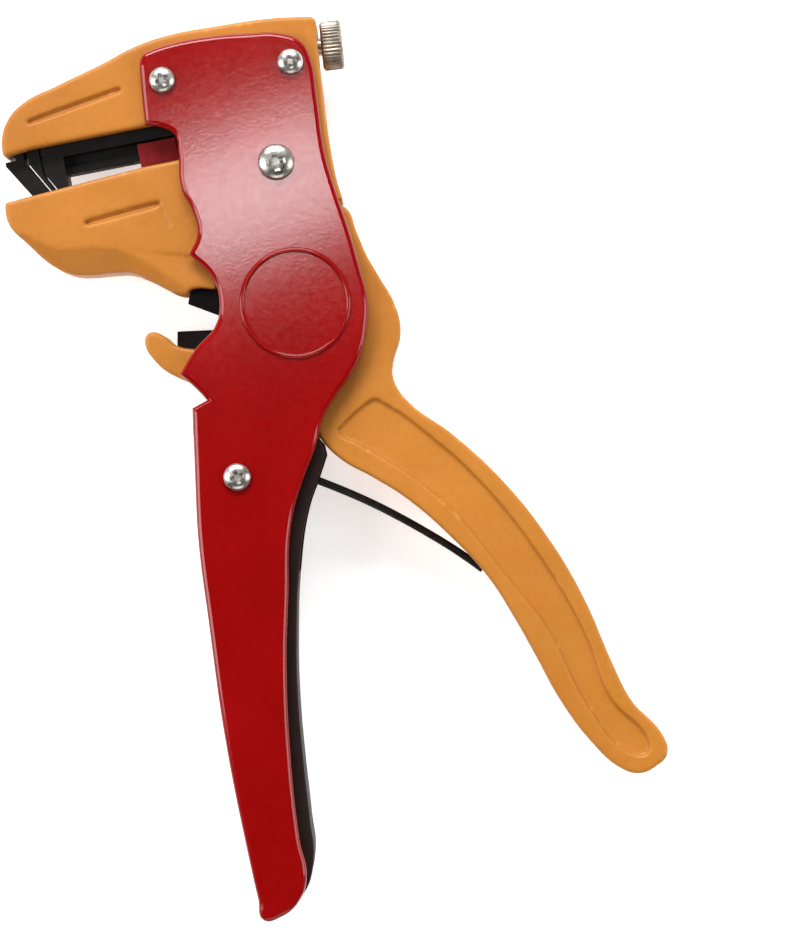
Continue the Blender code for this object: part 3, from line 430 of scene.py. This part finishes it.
def yellow_paint():
    material, tree, shader, where = shader_nodes("yellow_casting_paint")
    yellows = [(0.3, (0.465, 0.158, 0.011)), (0.7, (0.565, 0.206, 0.018))]
    cloud = ramp(tree, noise(tree, where, 38, 5), yellows)
    fleck = ramp(tree, noise(tree, where, 900, 3), [(0.3, (0.86, 0.80, 0.72)), (0.55, (1, 1, 1))])
    colour = mix(tree, 0.4, cloud, fleck, "MULTIPLY")
    # lighter rims, and painted shade in the hollows: the dark brown stands for the shade in creases and
    # grooves
    colour = rim_tint_and_hollow_shade(tree, colour, (0.74, 0.36, 0.075), (0.22, 0.060, 0.008), (0.35, 0.9))
    tree.links.new(colour, shader.inputs["Base Color"])
    tree.links.new(span(tree, noise(tree, where, 160, 4), 0.40, 0.56), shader.inputs["Roughness"])
    pores = noise(tree, where, 330, 4)
    dust = noise(tree, where, 1500, 2)
    bump(tree, shader, [(pores, 0.34, 0.00015), (dust, 0.2, 0.00004)])
    return material


def grained(name, dark, light, metallic, rough, scale, stretch=None, spots=0.3, level=0.5):
    """A material with broken-up colour, roughness and a fine surface."""
    material, tree, shader, where = shader_nodes(name)
    grain = noise(tree, where, scale, 4, stretch)
    base = ramp(tree, grain, [(0.3, dark), (0.7, light)])
    stain = ramp(tree, noise(tree, where, 130, 5), [(0.35, (0.55, 0.53, 0.5)), (0.6, (1, 1, 1))])
    tree.links.new(mix(tree, spots, base, stain, "MULTIPLY"), shader.inputs["Base Color"])
    tree.links.new(span(tree, grain, rough[0], rough[1]), shader.inputs["Roughness"])
    shader.inputs["Metallic"].default_value = metallic
    shader.inputs["Specular IOR Level"].default_value = level
    dust = noise(tree, where, 2600, 2)
    bump(tree, shader, [(grain, 0.25, 0.00003), (dust, 0.12, 0.00001)])
    return material


RED = red_enamel()
YELLOW = yellow_paint()
BLACK_PLASTIC = grained(
    "black_moulding", (0.013, 0.006, 0.005), (0.021, 0.009, 0.007),
    0.0, (0.5, 0.64), 900, level=0.15,
)
BLACK_STEEL = grained(
    "blackened_steel", (0.005, 0.004, 0.004), (0.012, 0.009, 0.009),
    0.0, (0.45, 0.6), 500, level=0.2,
)
BRIGHT = grained(
    "plated_steel", (0.50, 0.47, 0.43), (0.74, 0.72, 0.67),
    1.0, (0.24, 0.36), 700, spots=0.25,
)
KNOB_STEEL = grained(
    "knurled_steel", (0.24, 0.20, 0.16), (0.46, 0.41, 0.35),
    1.0, (0.32, 0.46), 800, spots=0.4,
)
SPRING = grained(
    "spring_wire", (0.008, 0.008, 0.008), (0.022, 0.021, 0.020),
    0.2, (0.3, 0.45), 1100, level=0.3,
)
BLADE = grained(
    "ground_steel", (0.42, 0.41, 0.39), (0.68, 0.67, 0.64),
    1.0, (0.2, 0.34), 420, (1, 1, 9),
)
BRONZE = grained("sintered_bronze", (0.42, 0.24, 0.09), (0.62, 0.40, 0.18), 0.9, (0.34, 0.5), 900)
# The red moulding's own red is kept dark as painted shade, for the shadow it lies in inside the mouth.
RED_PLASTIC_WITH_PAINTED_SHADE = grained(
    "red_moulding_painted_shade", (0.16, 0.004, 0.006), (0.24, 0.008, 0.010),
    0.0, (0.42, 0.55), 700, level=0.2,
)
SLOT_MATERIAL = {
    "red_paint": RED, "yellow_paint": YELLOW, "black_plastic": BLACK_PLASTIC, "red_plastic": RED_PLASTIC_WITH_PAINTED_SHADE,
    "black_steel": BLACK_STEEL, "bright_steel": BRIGHT, "spring_steel": SPRING, "bronze": BRONZE,
}


# ------------------------------------------------------------------ outlines

PLATE = [
    s(-29.2, 43.0), s(-29.3, 45.6), s(-28.7, 46.9), s(-27.4, 47.6), s(-24.9, 48.5), s(-18.6, 49.9),
    s(-9.4, 50.8), s(-2.6, 50.8), s(1.2, 49.2), s(3.0, 45.8), s(4.1, 39.0), s(5.65, 28.2), s(7.7, 21.1),
    s(10.2, 13.7), s(12.1, 7.0), s(13.6, 1.0), s(13.5, -4.3), s(12.6, -8.85), s(10.5, -13.4),
    s(7.3, -18.0), s(5.0, -22.4), s(3.8, -27.2), s(1.5, -33.3), h(-0.6, 0.0), h(-1.3, 0.2),
    h(-1.6, 0.36), h(-0.9, 0.58), h(0.9, 0.8), h(2.2, 0.89), h(0.8, 0.952), h(-2.6, 0.992),
    h(-6.0, 1.0), h(-7.0, 0.948), h(-8.7, 0.849), h(-13.2, 0.55), h(-16.4, 0.25), h(-18.3, 0.05),
    s(-19.0, -30.0), c(-19.4, -19.8), c(-16.6, -18.3), s(-18.85, -15.95), c(-21.8, -13.4),
    s(-18.9, -8.7), s(-15.1, -4.3), s(-14.3, 0.2), s(-15.6, 4.7), c(-20.0, 9.2), s(-18.4, 13.2),
    s(-19.2, 17.0), s(-21.5, 21.8), s(-22.1, 28.6), s(-22.8, 31.8), s(-24.8, 33.0), c(-28.3, 33.6),
    s(-28.8, 38.2),
]
HEAD = [
    c(-55.23, 27.63), s(-55.63, 30.15), s(-54.62, 34.47), s(-51.61, 37.89), s(-44.97, 41.31),
    s(-35.71, 45.84), s(-32.09, 47.85), s(-25.66, 50.37), s(-13.89, 52.68), s(-4.84, 53.99),
    c(3.0, 54.35), c(3.9, 53.6), s(4.22, 48.05), s(5.12, 40.51), s(5.82, 34.47), s(6.93, 27.63),
    s(8.0, 22.8), c(9.15, 19.3), c(5.0, 20.65), c(3.9, 20.9), *arc(J, 6.3, -15.0, 101.13, 9),
    slide_c(-15.5, 6.3), slide_c(-17.5, 11.6), slide_c(-45.3, 11.6),
]
HEAD_CHANNEL = [
    c(-48.9, 8.0), c(-48.9, 13.7), c(-46.5, 13.7), c(-46.5, 14.7), c(-31.0, 14.7), c(-31.0, 22.3),
    c(-28.5, 23.0), c(-25.0, 24.2), c(8.5, 24.4), c(8.5, 3.0), c(5.6, -8.6), c(-20.0, -12.0),
]
GRIP_PAD = [
    c(-46.6, 2.9), c(-50.6, 9.5), c(-50.6, 10.3), c(-48.6, 10.3), c(-48.6, 13.4), c(-46.9, 13.4),
    c(-46.9, 9.55), c(-43.2, 2.9),
]
CORE = [
    c(-19.3, -20.0), s(-19.4, -23.5), s(-19.0, -28.0), s(-18.5, -33.0), h(-17.9, 0.05), h(-16.0, 0.25),
    h(-12.8, 0.55), h(-8.3, 0.849), h(-6.6, 0.93), h(-5.2, 0.975), h(-1.8, 0.965), h(1.3, 0.94),
    h(3.45, 0.855), h(2.75, 0.748), h(1.5, 0.6), h(0.55, 0.45), h(0.25, 0.3), h(0.75, 0.12),
    s(2.3, -39.0), s(4.3, -33.0), c(5.75, -28.6), c(5.3, -26.6), s(1.0, -22.2), s(-6.0, -19.5),
    c(-14.0, -19.2),
]
CORE_SLOT = [
    c(-16.8, -14.0), c(-16.8, -38.0), c(-15.6, -50.0), c(-13.5, -53.5), c(4.0, -50.0), c(10.0, -50.0),
    c(12.0, -14.0),
]
LEVER = [
    s(9.6, 18.2), s(11.44, 14.03), s(13.36, 9.5), s(15.98, 4.96), s(18.6, 0.43), s(19.91, -5.21),
    s(18.5, -10.96), s(18.4, -13.68), s(20.71, -17.81), s(29.78, -24.66), s(39.15, -33.32),
    s(48.22, -44.71), s(54.87, -56.09), s(59.8, -67.48), s(63.63, -75.03), s(69.78, -81.98),
    s(70.48, -85.21), s(68.27, -87.63), s(65.25, -88.94), s(61.92, -88.13), s(55.77, -82.69),
    s(50.13, -75.03), s(46.0, -67.48), s(41.77, -59.92), s(36.75, -52.1), s(29.65, -44.35),
    s(21.1, -36.9), s(14.97, -33.02), s(8.82, -29.59), s(5.0, -25.97), s(1.0, -19.5), s(-6.0, -16.6),
    s(-15.0, -16.0), s(-21.4, -14.38), s(-26.54, -10.96), s(-28.55, -6.5), s(-27.4, -5.35),
    s(-25.1, -5.95), s(-22.91, -7.73), s(-18.5, -8.6), s(-13.5, -8.4), s(-10.4, -5.0), s(-9.5, 1.0),
    s(-9.7, 8.0), s(-9.4, 15.0), *arc((0, 0), 20.0, 116.0, 74.0, 5),
]
PANEL = [
    s(12.8, -19.1), s(14.9, -17.9), s(17.2, -18.9), s(24.9, -24.4), s(35.2, -33.7), s(47.1, -48.9),
    s(54.8, -62.3), s(59.6, -74.4), s(66.9, -83.0), s(66.6, -85.2), s(63.0, -84.9), s(55.3, -76.1),
    s(47.8, -61.7), s(40.3, -52.0), s(27.3, -36.9), s(11.9, -26.6), s(8.6, -25.0), c(7.7, -23.9),
]
GROOVE = [
    c(23.0, -46.0), c(26.2, -38.4), c(31.2, -42.9), c(38.2, -50.5), c(43.6, -58.0), c(47.8, -65.5),
    c(51.5, -72.4), c(44.0, -76.0),
]
CUTTER_SLOT = [
    c(-23.1, -3.6), c(-23.0, -8.2), c(-20.7, -12.8), c(-13.2, -12.8), c(-12.7, -9.6), c(-9.2, -7.6),
    c(-8.7, 9.0), c(-14.0, 9.0), c(-14.0, -4.0),
]
LOWER_JAW = [
    c(-51.6, 6.2), c(-24.0, 5.9), c(-19.0, 5.55), *arc((0, 0), 5.5, 104.0, -112.0, 10), s(-8.4, -5.4),
    s(-12.7, -11.6), s(-15.8, -16.6), c(-17.1, -20.0), s(-21.75, -18.8), s(-23.05, -19.4),
    s(-24.65, -18.8), s(-27.25, -16.5), s(-30.02, -14.12), s(-32.23, -12.71), s(-35.75, -11.81),
    s(-39.88, -11.1), s(-42.9, -10.1), s(-46.02, -7.58), s(-49.84, -1.85), s(-51.55, 0.87),
    s(-52.05, 3.38),
]
JAW_CHANNEL = [
    c(-60.0, 9.0), c(-60.0, 0.3), c(-42.7, 0.3), c(-42.7, -1.7), c(-13.0, -1.7), c(-13.0, -3.0),
    c(-4.0, -14.0), c(12.0, -14.0), c(12.0, 9.0),
]
JAW_HOLLOW = [
    c(-41.5, -3.9), c(-41.5, -8.3), c(-33.5, -10.2), c(-30.2, -12.2), c(-30.2, -30.0), c(-5.0, -30.0),
    c(-10.0, -3.9),
]
FIXED_CUTTER = [
    c(-20.65, 0.2), c(-14.6, -2.05), c(-10.7, -1.9), c(-10.4, 6.4), c(-13.6, 6.6), c(-14.2, 3.6),
    c(-20.1, 3.6),
]
MOVING_CUTTER = [
    c(-22.8, -4.95), c(-14.75, -4.6), c(-13.73, -8.24), c(-13.6, -12.4), c(-20.3, -12.4),
    c(-22.8, -7.73),
]


# ------------------------------------------------------------------ the casing

SCREW_PLACES = (
    (S1, SMALL_SHANK, SMALL_HEAD), (S2, SMALL_SHANK, SMALL_HEAD), (J, PIVOT_SHANK, PIVOT_HEAD),
    (S3, POST_SHANK, POST_HEAD),
)


def plate(name, low, inner, outer):
    """A pressed plate: the front one has the hub's ring, the rear one has its screws sunk."""
    made = solid(name, PLATE, low, low + PLATE_THICKNESS, 0.92, 12)
    tools = []
    for at, shank, head in SCREW_PLACES:
        hole = shank + SEAT_GAP
        tools.append(bar("hole", hole, (*at, low - 1), (*at, low + 3)))
        if outer < inner:
            depth = head - shank
            tools.append(bar("sink", head + SEAT_GAP, (*at, outer - 0.01), (*at, outer + depth), hole))
    carve(made, *tools)
    if outer > inner:
        carve(made, torus("ring", 10.05, 0.5, outer), union=True)
    return made


def slot_tool(start, end, width, depth, top, place_in=WORLD):
    """A round-ended groove cutter in a face at height top."""
    a, b = Vector(start), Vector(end)
    turn = math.degrees(math.atan2(b.y - a.y, b.x - a.x))
    ends = arc(b, width / 2, turn - 90, turn + 90, 5) + arc(a, width / 2, turn + 90, turn + 270, 5)
    z0, z1 = sorted((top - depth, top + 1.0 if depth > 0 else top - 1.0))
    return solid("groove", ends, z0, z1, place_in=place_in)


def head_casting():
    """The fixed upper jaw with its channel, the adjuster's hole and the screw holes."""
    made = solid("head_casting", HEAD, MID - CAST, MID + CAST, 0.7)
    tools = [
        solid("channel", HEAD_CHANNEL, MID - CHANNEL, MID + CHANNEL, place_in=SLIDE),
        bar("adjuster_hole", 3.2, (-7.2, 0, MID), (0, 0, MID), place_in=ADJUST),
    ]
    for at in (S1, S2):
        tools.append(bar("tap", 1.5, (*at, MID + CAST - 2.9), (*at, MID + CAST + 1)))
        tools.append(bar("tap", 1.5, (*at, MID - CAST - 1), (*at, MID - CAST + 2.9)))
    for side in (1, -1):
        depth = side * GROOVE_DEPTH
        tools.append(slot_tool((-50.3, 34.3), (-33.4, 40.4), GROOVE_WIDTH, depth, MID + side * CAST))
    carve(made, *tools)
    return cast(made)


def relief_tool(name, floor_points, faces, side):
    """Sinks part of the jaw's cheek to a floor of (x, y, depth) points in the jaw frame."""
    face = MID + side * JAW_HALF
    bm = bmesh.new()
    floor = [bm.verts.new((x, y, face - side * depth)) for x, y, depth in floor_points]
    lid = [bm.verts.new((x, y, face + side * 3)) for x, y, depth in floor_points]
    for face_corners in faces:
        bm.faces.new([floor[k] for k in face_corners])
    bm.faces.new(lid)
    for k in range(len(floor)):
        m = (k + 1) % len(floor)
        bm.faces.new((floor[k], floor[m], lid[m], lid[k]))
    bm.transform(JAW)
    return from_bmesh(name, bm)


def hump_tool(side):
    """The lower rear of the cheek, sunk along a crease and rising to the chamfer round its edge."""
    rim = [
        (-33.0, -7.7, -0.02), (-15.0, -14.4, 0.55), (-12.0, -19.0, 0.35), (-19.5, -20.8, -0.02),
        (-25.5, -15.0, -0.02), (-29.3, -10.9, -0.02),
    ]
    return relief_tool("hump", rim, [(0, 1, 5), (1, 4, 5), (1, 3, 4), (1, 2, 3)], side)


def chamfer_tool(side):
    """The broad chamfer along the cheek's lower edge."""
    upper = [
        (-49.6, -0.2), (-46.5, -3.2), (-43.6, -5.2), (-38.0, -6.0), (-33.0, -7.9), (-29.3, -10.9),
        (-25.5, -15.0), (-20.5, -20.6),
    ]
    lower = [
        (-51.5, -1.5, 1.2), (-48.2, -7.0, 2.5), (-44.2, -11.2, 2.9), (-38.5, -12.9, 3.1),
        (-33.5, -13.5, 2.8), (-31.0, -15.5, 2.4), (-28.0, -18.3, 2.1), (-22.5, -22.5, 1.4),
    ]
    rim = [(x, y, -0.02) for x, y in upper] + lower[::-1]
    count = len(upper)
    faces = []
    for k in range(count - 1):
        a, b = 2 * count - 1 - k, 2 * count - 2 - k
        faces += [(k, k + 1, b), (k, b, a)]
    return relief_tool("chamfer", rim, faces, side)


def jaw_casting():
    """The lower jaw, drawn shut and then turned open."""
    made = solid("jaw_casting", LOWER_JAW, MID - JAW_HALF, MID + JAW_HALF, 0.6)
    tools = [
        solid("channel", JAW_CHANNEL, MID - CHANNEL, MID + CHANNEL),
        solid("hollow", JAW_HOLLOW, MID - CHANNEL, MID + CHANNEL),
        bar("ear", 3.7, (0, 0, 0), (0, 0, 2 * MID)),
    ]
    carve(made, *tools)
    made.data.transform(JAW)
    cuts = []
    for side in (1, -1):
        cuts.append(hump_tool(side))
        cuts.append(chamfer_tool(side))
        top = MID + side * JAW_HALF
        depth = side * GROOVE_DEPTH
        cuts.append(slot_tool((-37.6, -1.5), (-23.6, -1.5), GROOVE_WIDTH, depth, top, JAW))
        cuts.append(slot_tool((-23.4, -2.4), (-22.6, -6.4), 0.7, side * 0.3, top, JAW))
    carve(made, *cuts)
    return cast(made)


def lever_casting():
    """The squeezing lever with its hub, drive web, blade slot and sunk panels."""
    made = solid("lever_casting", LEVER, MID - LEVER_HALF, MID + LEVER_HALF, 0.6)
    angle = TILT + math.pi / 2 + math.radians(DRIVE_LEAD)
    spin = Matrix.Rotation(angle, 4, "Z")
    pin = Vector((DRIVE_RADIUS * math.cos(angle), DRIVE_RADIUS * math.sin(angle)))
    carve(
        made,
        bar("boss", 8.0, (0, 0, MID - CAST), (0, 0, MID + CAST), steps=64),
        block("web", (14.0, -3.0, MID - 3.0), (DRIVE_RADIUS, 3.0, MID + 3.0), spin),
        bar("eye", 3.2, (*pin, MID - 3.0), (*pin, MID + 3.0)),
        union=True,
    )
    carve(
        made,
        bar("hub_bore", 4.6, (0, 0, 0), (0, 0, 2 * MID), steps=48),
        bar("pin_hole", 1.8, (*pin, 0), (*pin, 2 * MID)),
        bar("rivet_hole", 1.4, (*RIVET, 0), (*RIVET, 2 * MID)),
        solid("blade_slot", CUTTER_SLOT, MID - 2.35, MID + 2.35),
        solid("groove", GROOVE, MID - 1.25, MID + 1.25),
        solid("panel_front", PANEL, MID + LEVER_HALF - PANEL_DEPTH, MID + LEVER_HALF + 1),
        solid("panel_rear", PANEL, MID - LEVER_HALF - 1, MID - LEVER_HALF + PANEL_DEPTH),
    )
    return cast(made)


def grip_core():
    """The black core of the fixed handle, slotted for the return spring."""
    made = solid("grip_core_moulding", CORE, MID - CAST, MID + CAST, 0.5)
    slot = solid("slot", CORE_SLOT, MID - 7.5, MID + 7.5)
    carve(made, slot, bar("post", 3.5, (*S3, 0), (*S3, 2 * MID)))
    return soften(made, 0.15)


# ------------------------------------------------------------------ screws, knob and springs

def domed_screw(name, head, shank, height, reach, turn, place_at):
    """A domed cross-head screw on the front plate, its shank going down by reach."""
    base = TOP + SEAT_GAP
    brim = base + 0.18 * height
    profile = [(0, base + height)]
    for k in range(1, 8):
        a = k / 8 * 0.5 * math.pi
        profile.append((head * math.sin(a), brim + 0.82 * height * math.cos(a) ** 0.9))
    profile += [
        (head, brim), (head, base + 0.06), (head - 0.08, base), (shank, base), (shank, TOP - reach),
        (0, TOP - reach),
    ]
    made = lathe(name, profile, 64)
    arm, wide = head * 0.64, head * 0.17
    for k in range(2):
        bm = bmesh.new()
        bmesh.ops.create_cube(bm, size=2.0)
        for v in bm.verts:
            length, width = (0.62, 0.8) if v.co.z < 0 else (1.12, 1.1)
            v.co = (v.co.x * arm * length, v.co.y * wide * width, v.co.z * height * 0.72)
        spin = Matrix.Rotation(turn + k * math.pi / 2, 4, "Z")
        bm.transform(Matrix.Translation((0, 0, base + height * 0.98)) @ spin)
        carve(made, from_bmesh("cross", bm))
    soften(made, 0.05 if head < 3 else 0.07, 50)
    made.data.transform(Matrix.Translation((*place_at, 0)))
    return made


def flush_screw(name, head, shank, reach, turn, place_at):
    """A countersunk cross-head screw in the rear plate, its shank going up by reach."""
    profile = [
        (0, reach), (shank, reach), (shank, head - shank + SEAT_GAP), (head - SEAT_GAP, SEAT_GAP),
        (0, SEAT_GAP),
    ]
    made = lathe(name, profile, 64)
    for k in range(2):
        bm = bmesh.new()
        bmesh.ops.create_cube(bm, size=2.0)
        for v in bm.verts:
            taper = 0.62 if v.co.z > 0 else 1.12
            v.co = (v.co.x * head * 0.5 * taper, v.co.y * head * 0.12, v.co.z * 0.9)
        spin = Matrix.Rotation(turn + k * math.pi / 2, 4, "Z")
        bm.transform(Matrix.Translation((0, 0, SEAT_GAP)) @ spin)
        carve(made, from_bmesh("cross", bm))
    soften(made, 0.05, 50)
    made.data.transform(Matrix.Translation((*place_at, 0)))
    return made


def knurled_knob():
    """The adjuster's knob, its rim cut into ridges."""
    teeth = 44

    def ridge(angle, radius, height):
        if radius < 3.9:
            return radius
        wave = abs((angle * teeth / (2 * math.pi)) % 1.0 - 0.5) * 2
        return radius - 0.26 * (1 - wave) ** 0.8 * (1.0 if 0.3 < height < 3.8 else 0.35)

    profile = [
        (0, 3.6), (2.6, 3.6), (2.9, 3.9), (3.2, 4.1), (4.1, 4.1), (4.45, 3.85), (4.7, 3.6), (4.7, 0.5),
        (4.5, 0.25), (4.2, 0.0), (2.1, 0.0), (2.1, 2.35), (0, 2.35),
    ]
    made = lathe("knurled_knob", profile, teeth * 6, ridge)
    made.data.transform(ADJUST @ Matrix.Translation((-2.05, 0, MID)) @ Matrix.Rotation(math.pi / 2, 4, "Y"))
    return made


def spring_wire():
    """The return spring: a short leg in the core, three turns and the long arm to the lever."""
    low = MID - COIL_HALF
    sweep = -(math.pi - math.radians(70)) - 6 * math.pi
    points = catmull([(-3.4, -15.8, low), (-4.1, -9.0, low), (-4.4, -4.0, low)], 6)
    count = 40 * 3
    for i in range(count + 1):
        a = math.pi + sweep * i / count
        x, y = COIL_RADIUS * math.cos(a), COIL_RADIUS * math.sin(a)
        points.append(Vector((x, y, low + 2 * COIL_HALF * i / count)))
    arm = [points[-2], points[-1]]
    path = [(3.8, -33.3), (13.1, -37.15), (20.7, -41.0), (27.8, -45.1), (32.4, -48.1), (35.6, -50.4)]
    for k, (x, y) in enumerate(path, 1):
        height = MID + COIL_HALF * (1 - min(1.0, k / 3))
        arm.append(Vector((x - S3.x, y - S3.y, height)))
    points += catmull(arm, 8)[9:]
    made = wire("return_spring_wire", points, COIL_WIRE, 4)
    made.data.transform(Matrix.Translation((*S3, 0)))
    return made


def clamp_wire():
    """The clamp spring, a plain coil along the carriage."""
    start, end, turns = -27.1, -0.2, 9
    count = 36 * turns
    points = []
    for i in range(count + 1):
        a = 2 * math.pi * turns * i / count
        level = CLAMP_LEVEL + CLAMP_RADIUS * math.cos(a)
        points.append(Vector((start + (end - start) * i / count, level, MID + CLAMP_RADIUS * math.sin(a))))
    made = wire("clamp_spring_wire", points, CLAMP_WIRE, 3)
    made.data.transform(SLIDE)
    return made


# ------------------------------------------------------------------ building

front_plate = plate("front_plate", FRONT, FRONT, TOP)
dress(front_plate, "frame", RED, "red_paint", "side_plate_front", flat=True)
rear_plate = plate("rear_plate", 0.0, PLATE_THICKNESS, 0.0)
dress(rear_plate, "frame", RED, "red_paint", "side_plate_rear", flat=True)
dress(head_casting(), "frame", YELLOW, "yellow_paint", "upper_jaw_body", weighted=False, smooth_angle=180)
dress(jaw_casting(), "lower_jaw_set", YELLOW, "yellow_paint", "lower_jaw", weighted=False, smooth_angle=180)
dress(lever_casting(), "lever", YELLOW, "yellow_paint", "handle_lever", weighted=False, smooth_angle=180)
dress(grip_core(), "frame", BLACK_PLASTIC, "black_plastic", "grip_core")

pad = soften(solid("nose_pad", GRIP_PAD, MID - PAD_HALF, MID + PAD_HALF, place_in=SLIDE), 0.15)
dress(pad, "frame", BLACK_STEEL, "black_steel", "upper_grip_pad")
blade = solid("cutter_fixed", FIXED_CUTTER, MID + BLADE_INNER, MID + BLADE_OUTER)
carve(blade, bar("hole", 1.6, (*CUTTER_POST, 0), (*CUTTER_POST, 24)))
dress(soften(blade, 0.12), "frame", BLACK_STEEL, "black_steel", "upper_cutter_blade")
blade = solid("cutter_moving", MOVING_CUTTER, MID - BLADE_OUTER, MID - BLADE_INNER)
carve(blade, bar("hole", 1.4, (*RIVET, 0), (*RIVET, 24)))
dress(soften(blade, 0.12), "lever", BLACK_STEEL, "black_steel", "lower_cutter_blade")

# Each screw: node, head radius, shank radius, head height, reach, turn of the cross, place.
FRONT_SCREWS = (
    ("head_screw_front_left", SMALL_HEAD, SMALL_SHANK, 1.3, 2.6, 0.5, S1),
    ("head_screw_front_right", SMALL_HEAD, SMALL_SHANK, 1.3, 2.6, 0.25, S2),
    ("jaw_pivot_screw_front", PIVOT_HEAD, PIVOT_SHANK, 1.5, 3.3, 0.2, J),
    ("post_screw_front", POST_HEAD, POST_SHANK, 1.3, 4.0, 0.35, S3),
)
for node, head, shank, height, reach, turn, at in FRONT_SCREWS:
    screw = domed_screw(node + "_turned", head, shank, height, reach, turn, at)
    dress(screw, "frame", BRIGHT, "bright_steel", node, smooth_angle=38)
REAR_SCREWS = (
    ("head_screw_rear_left", SMALL_HEAD, SMALL_SHANK, 4.6, 0.9, S1),
    ("head_screw_rear_right", SMALL_HEAD, SMALL_SHANK, 4.6, 0.1, S2),
    ("jaw_pivot_screw_rear", PIVOT_HEAD, PIVOT_SHANK, 5.2, 0.6, J),
    ("post_screw_rear", POST_HEAD, POST_SHANK, 6.0, 1.2, S3),
)
for node, head, shank, reach, turn, at in REAR_SCREWS:
    screw = flush_screw(node + "_turned", head, shank, reach, turn, at)
    dress(screw, "frame", BRIGHT, "bright_steel", node)

knob = knurled_knob()
dress(knob, "adjuster", KNOB_STEEL, "bright_steel", "adjuster_knob", smooth_angle=50, weighted=False)
coil = dress(clamp_wire(), None, SPRING, "spring_steel", "clamp_spring", smooth_angle=60, weighted=False)
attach(coil, "frame")
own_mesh(coil)
coil = dress(spring_wire(), None, SPRING, "spring_steel", "return_spring", smooth_angle=60, weighted=False)
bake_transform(coil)

# The pieces that stay as the CAD has them get rounded edges and their own surface.
slots = {entry["node"]: entry["material_slot"] for entry in frame["record"]["subparts"]}
for name, node in frame["nodes"].items():
    if node.hide_render:
        continue
    surface = SLOT_MATERIAL[slots[name]]
    if "blade" in name and slots[name] == "bright_steel":
        surface = BLADE
    node.data.materials.clear()
    node.data.materials.append(surface)
    node.data.shade_smooth()
    weld = node.modifiers.new("weld", "WELD")
    weld.merge_threshold = 0.000002
    edge = node.modifiers.new("edges", "BEVEL")
    edge.width = 0.00014
    edge.segments = 2
    edge.limit_method = "ANGLE"
    edge.angle_limit = math.radians(40)
    node.modifiers.new("normals", "WEIGHTED_NORMAL")


# ------------------------------------------------------------------ studio

bm = bmesh.new()
bmesh.ops.create_grid(bm, x_segments=8, y_segments=8, size=3.0)
floor = from_bmesh("studio_floor", bm)
floor.location = (0, 0, -0.0002)
paper, tree, shader, where = shader_nodes("studio_paper")
tree.links.new(ramp(tree, noise(tree, where, 3, 2), [(0.3, (0.93, 0.93, 0.93)), (0.7, (0.95, 0.95, 0.95))]),
               shader.inputs["Base Color"])
shader.inputs["Roughness"].default_value = 0.9
shader.inputs["Specular IOR Level"].default_value = 0.1
shader.inputs["Emission Color"].default_value = (1, 1, 1, 1)
shader.inputs["Emission Strength"].default_value = 0.6
floor.data.materials.append(paper)

world = bpy.data.worlds.new("studio")
bpy.context.scene.world = world
world.use_nodes = True
tree = world.node_tree
where = tree.nodes.new("ShaderNodeTexCoord")
parts = tree.nodes.new("ShaderNodeSeparateXYZ")
tree.links.new(where.outputs["Generated"], parts.inputs["Vector"])
sky_greys = [(0.0, (0.9, 0.9, 0.9)), (0.45, (0.5, 0.5, 0.5)), (0.8, (0.06, 0.06, 0.06))]
sky = ramp(tree, parts.outputs["Z"], sky_greys)
lift_greys = [(0.0, (0.25, 0.23, 0.21)), (1.0, (1, 1, 1))]
lift = ramp(tree, span(tree, parts.outputs["Y"], 0.0, 1.0, -0.8, 0.6), lift_greys)
tree.links.new(mix(tree, 1.0, sky, lift, "MULTIPLY"), tree.nodes["Background"].inputs["Color"])
tree.nodes["Background"].inputs["Strength"].default_value = 0.55


def softbox(name, at, target, size, power):
    """A rectangular light aimed at a point."""
    light = bpy.data.lights.new(name, "AREA")
    light.shape = "RECTANGLE"
    light.size, light.size_y = size
    light.energy = power
    obj = link(bpy.data.objects.new(name, light))
    obj.location = at
    obj.rotation_euler = (Vector(target) - Vector(at)).to_track_quat("-Z", "Y").to_euler()


softbox("top_key", (-0.15, 0.85, 0.75), (0.01, -0.01, 0), (0.9, 0.4), 15.0)
softbox("left_fill", (-0.85, -0.05, 0.7), (0, -0.03, 0), (0.4, 0.8), 6.5)
softbox("right_fill", (0.95, -0.05, 0.65), (0, -0.03, 0), (0.4, 0.8), 4.5)
softbox("near_fill", (0.1, -1.0, 0.7), (0.02, -0.05, 0), (0.9, 0.4), 2.5)
softbox("sheen", (-0.035, 0.077, 0.80), (-0.013, 0.02, 0), (0.085, 0.045), 0.20)

camera = link(bpy.data.objects.new("camera", bpy.data.cameras.new("camera")))
camera.data.lens = 150
camera.data.sensor_width = 36
camera.data.clip_start = 0.05
camera.data.clip_end = 20
camera.location = (0.0189, -0.0304, 0.7512)
bpy.context.scene.camera = camera
bpy.context.scene.view_settings.view_transform = "Standard"
bpy.context.scene.view_settings.look = "None"
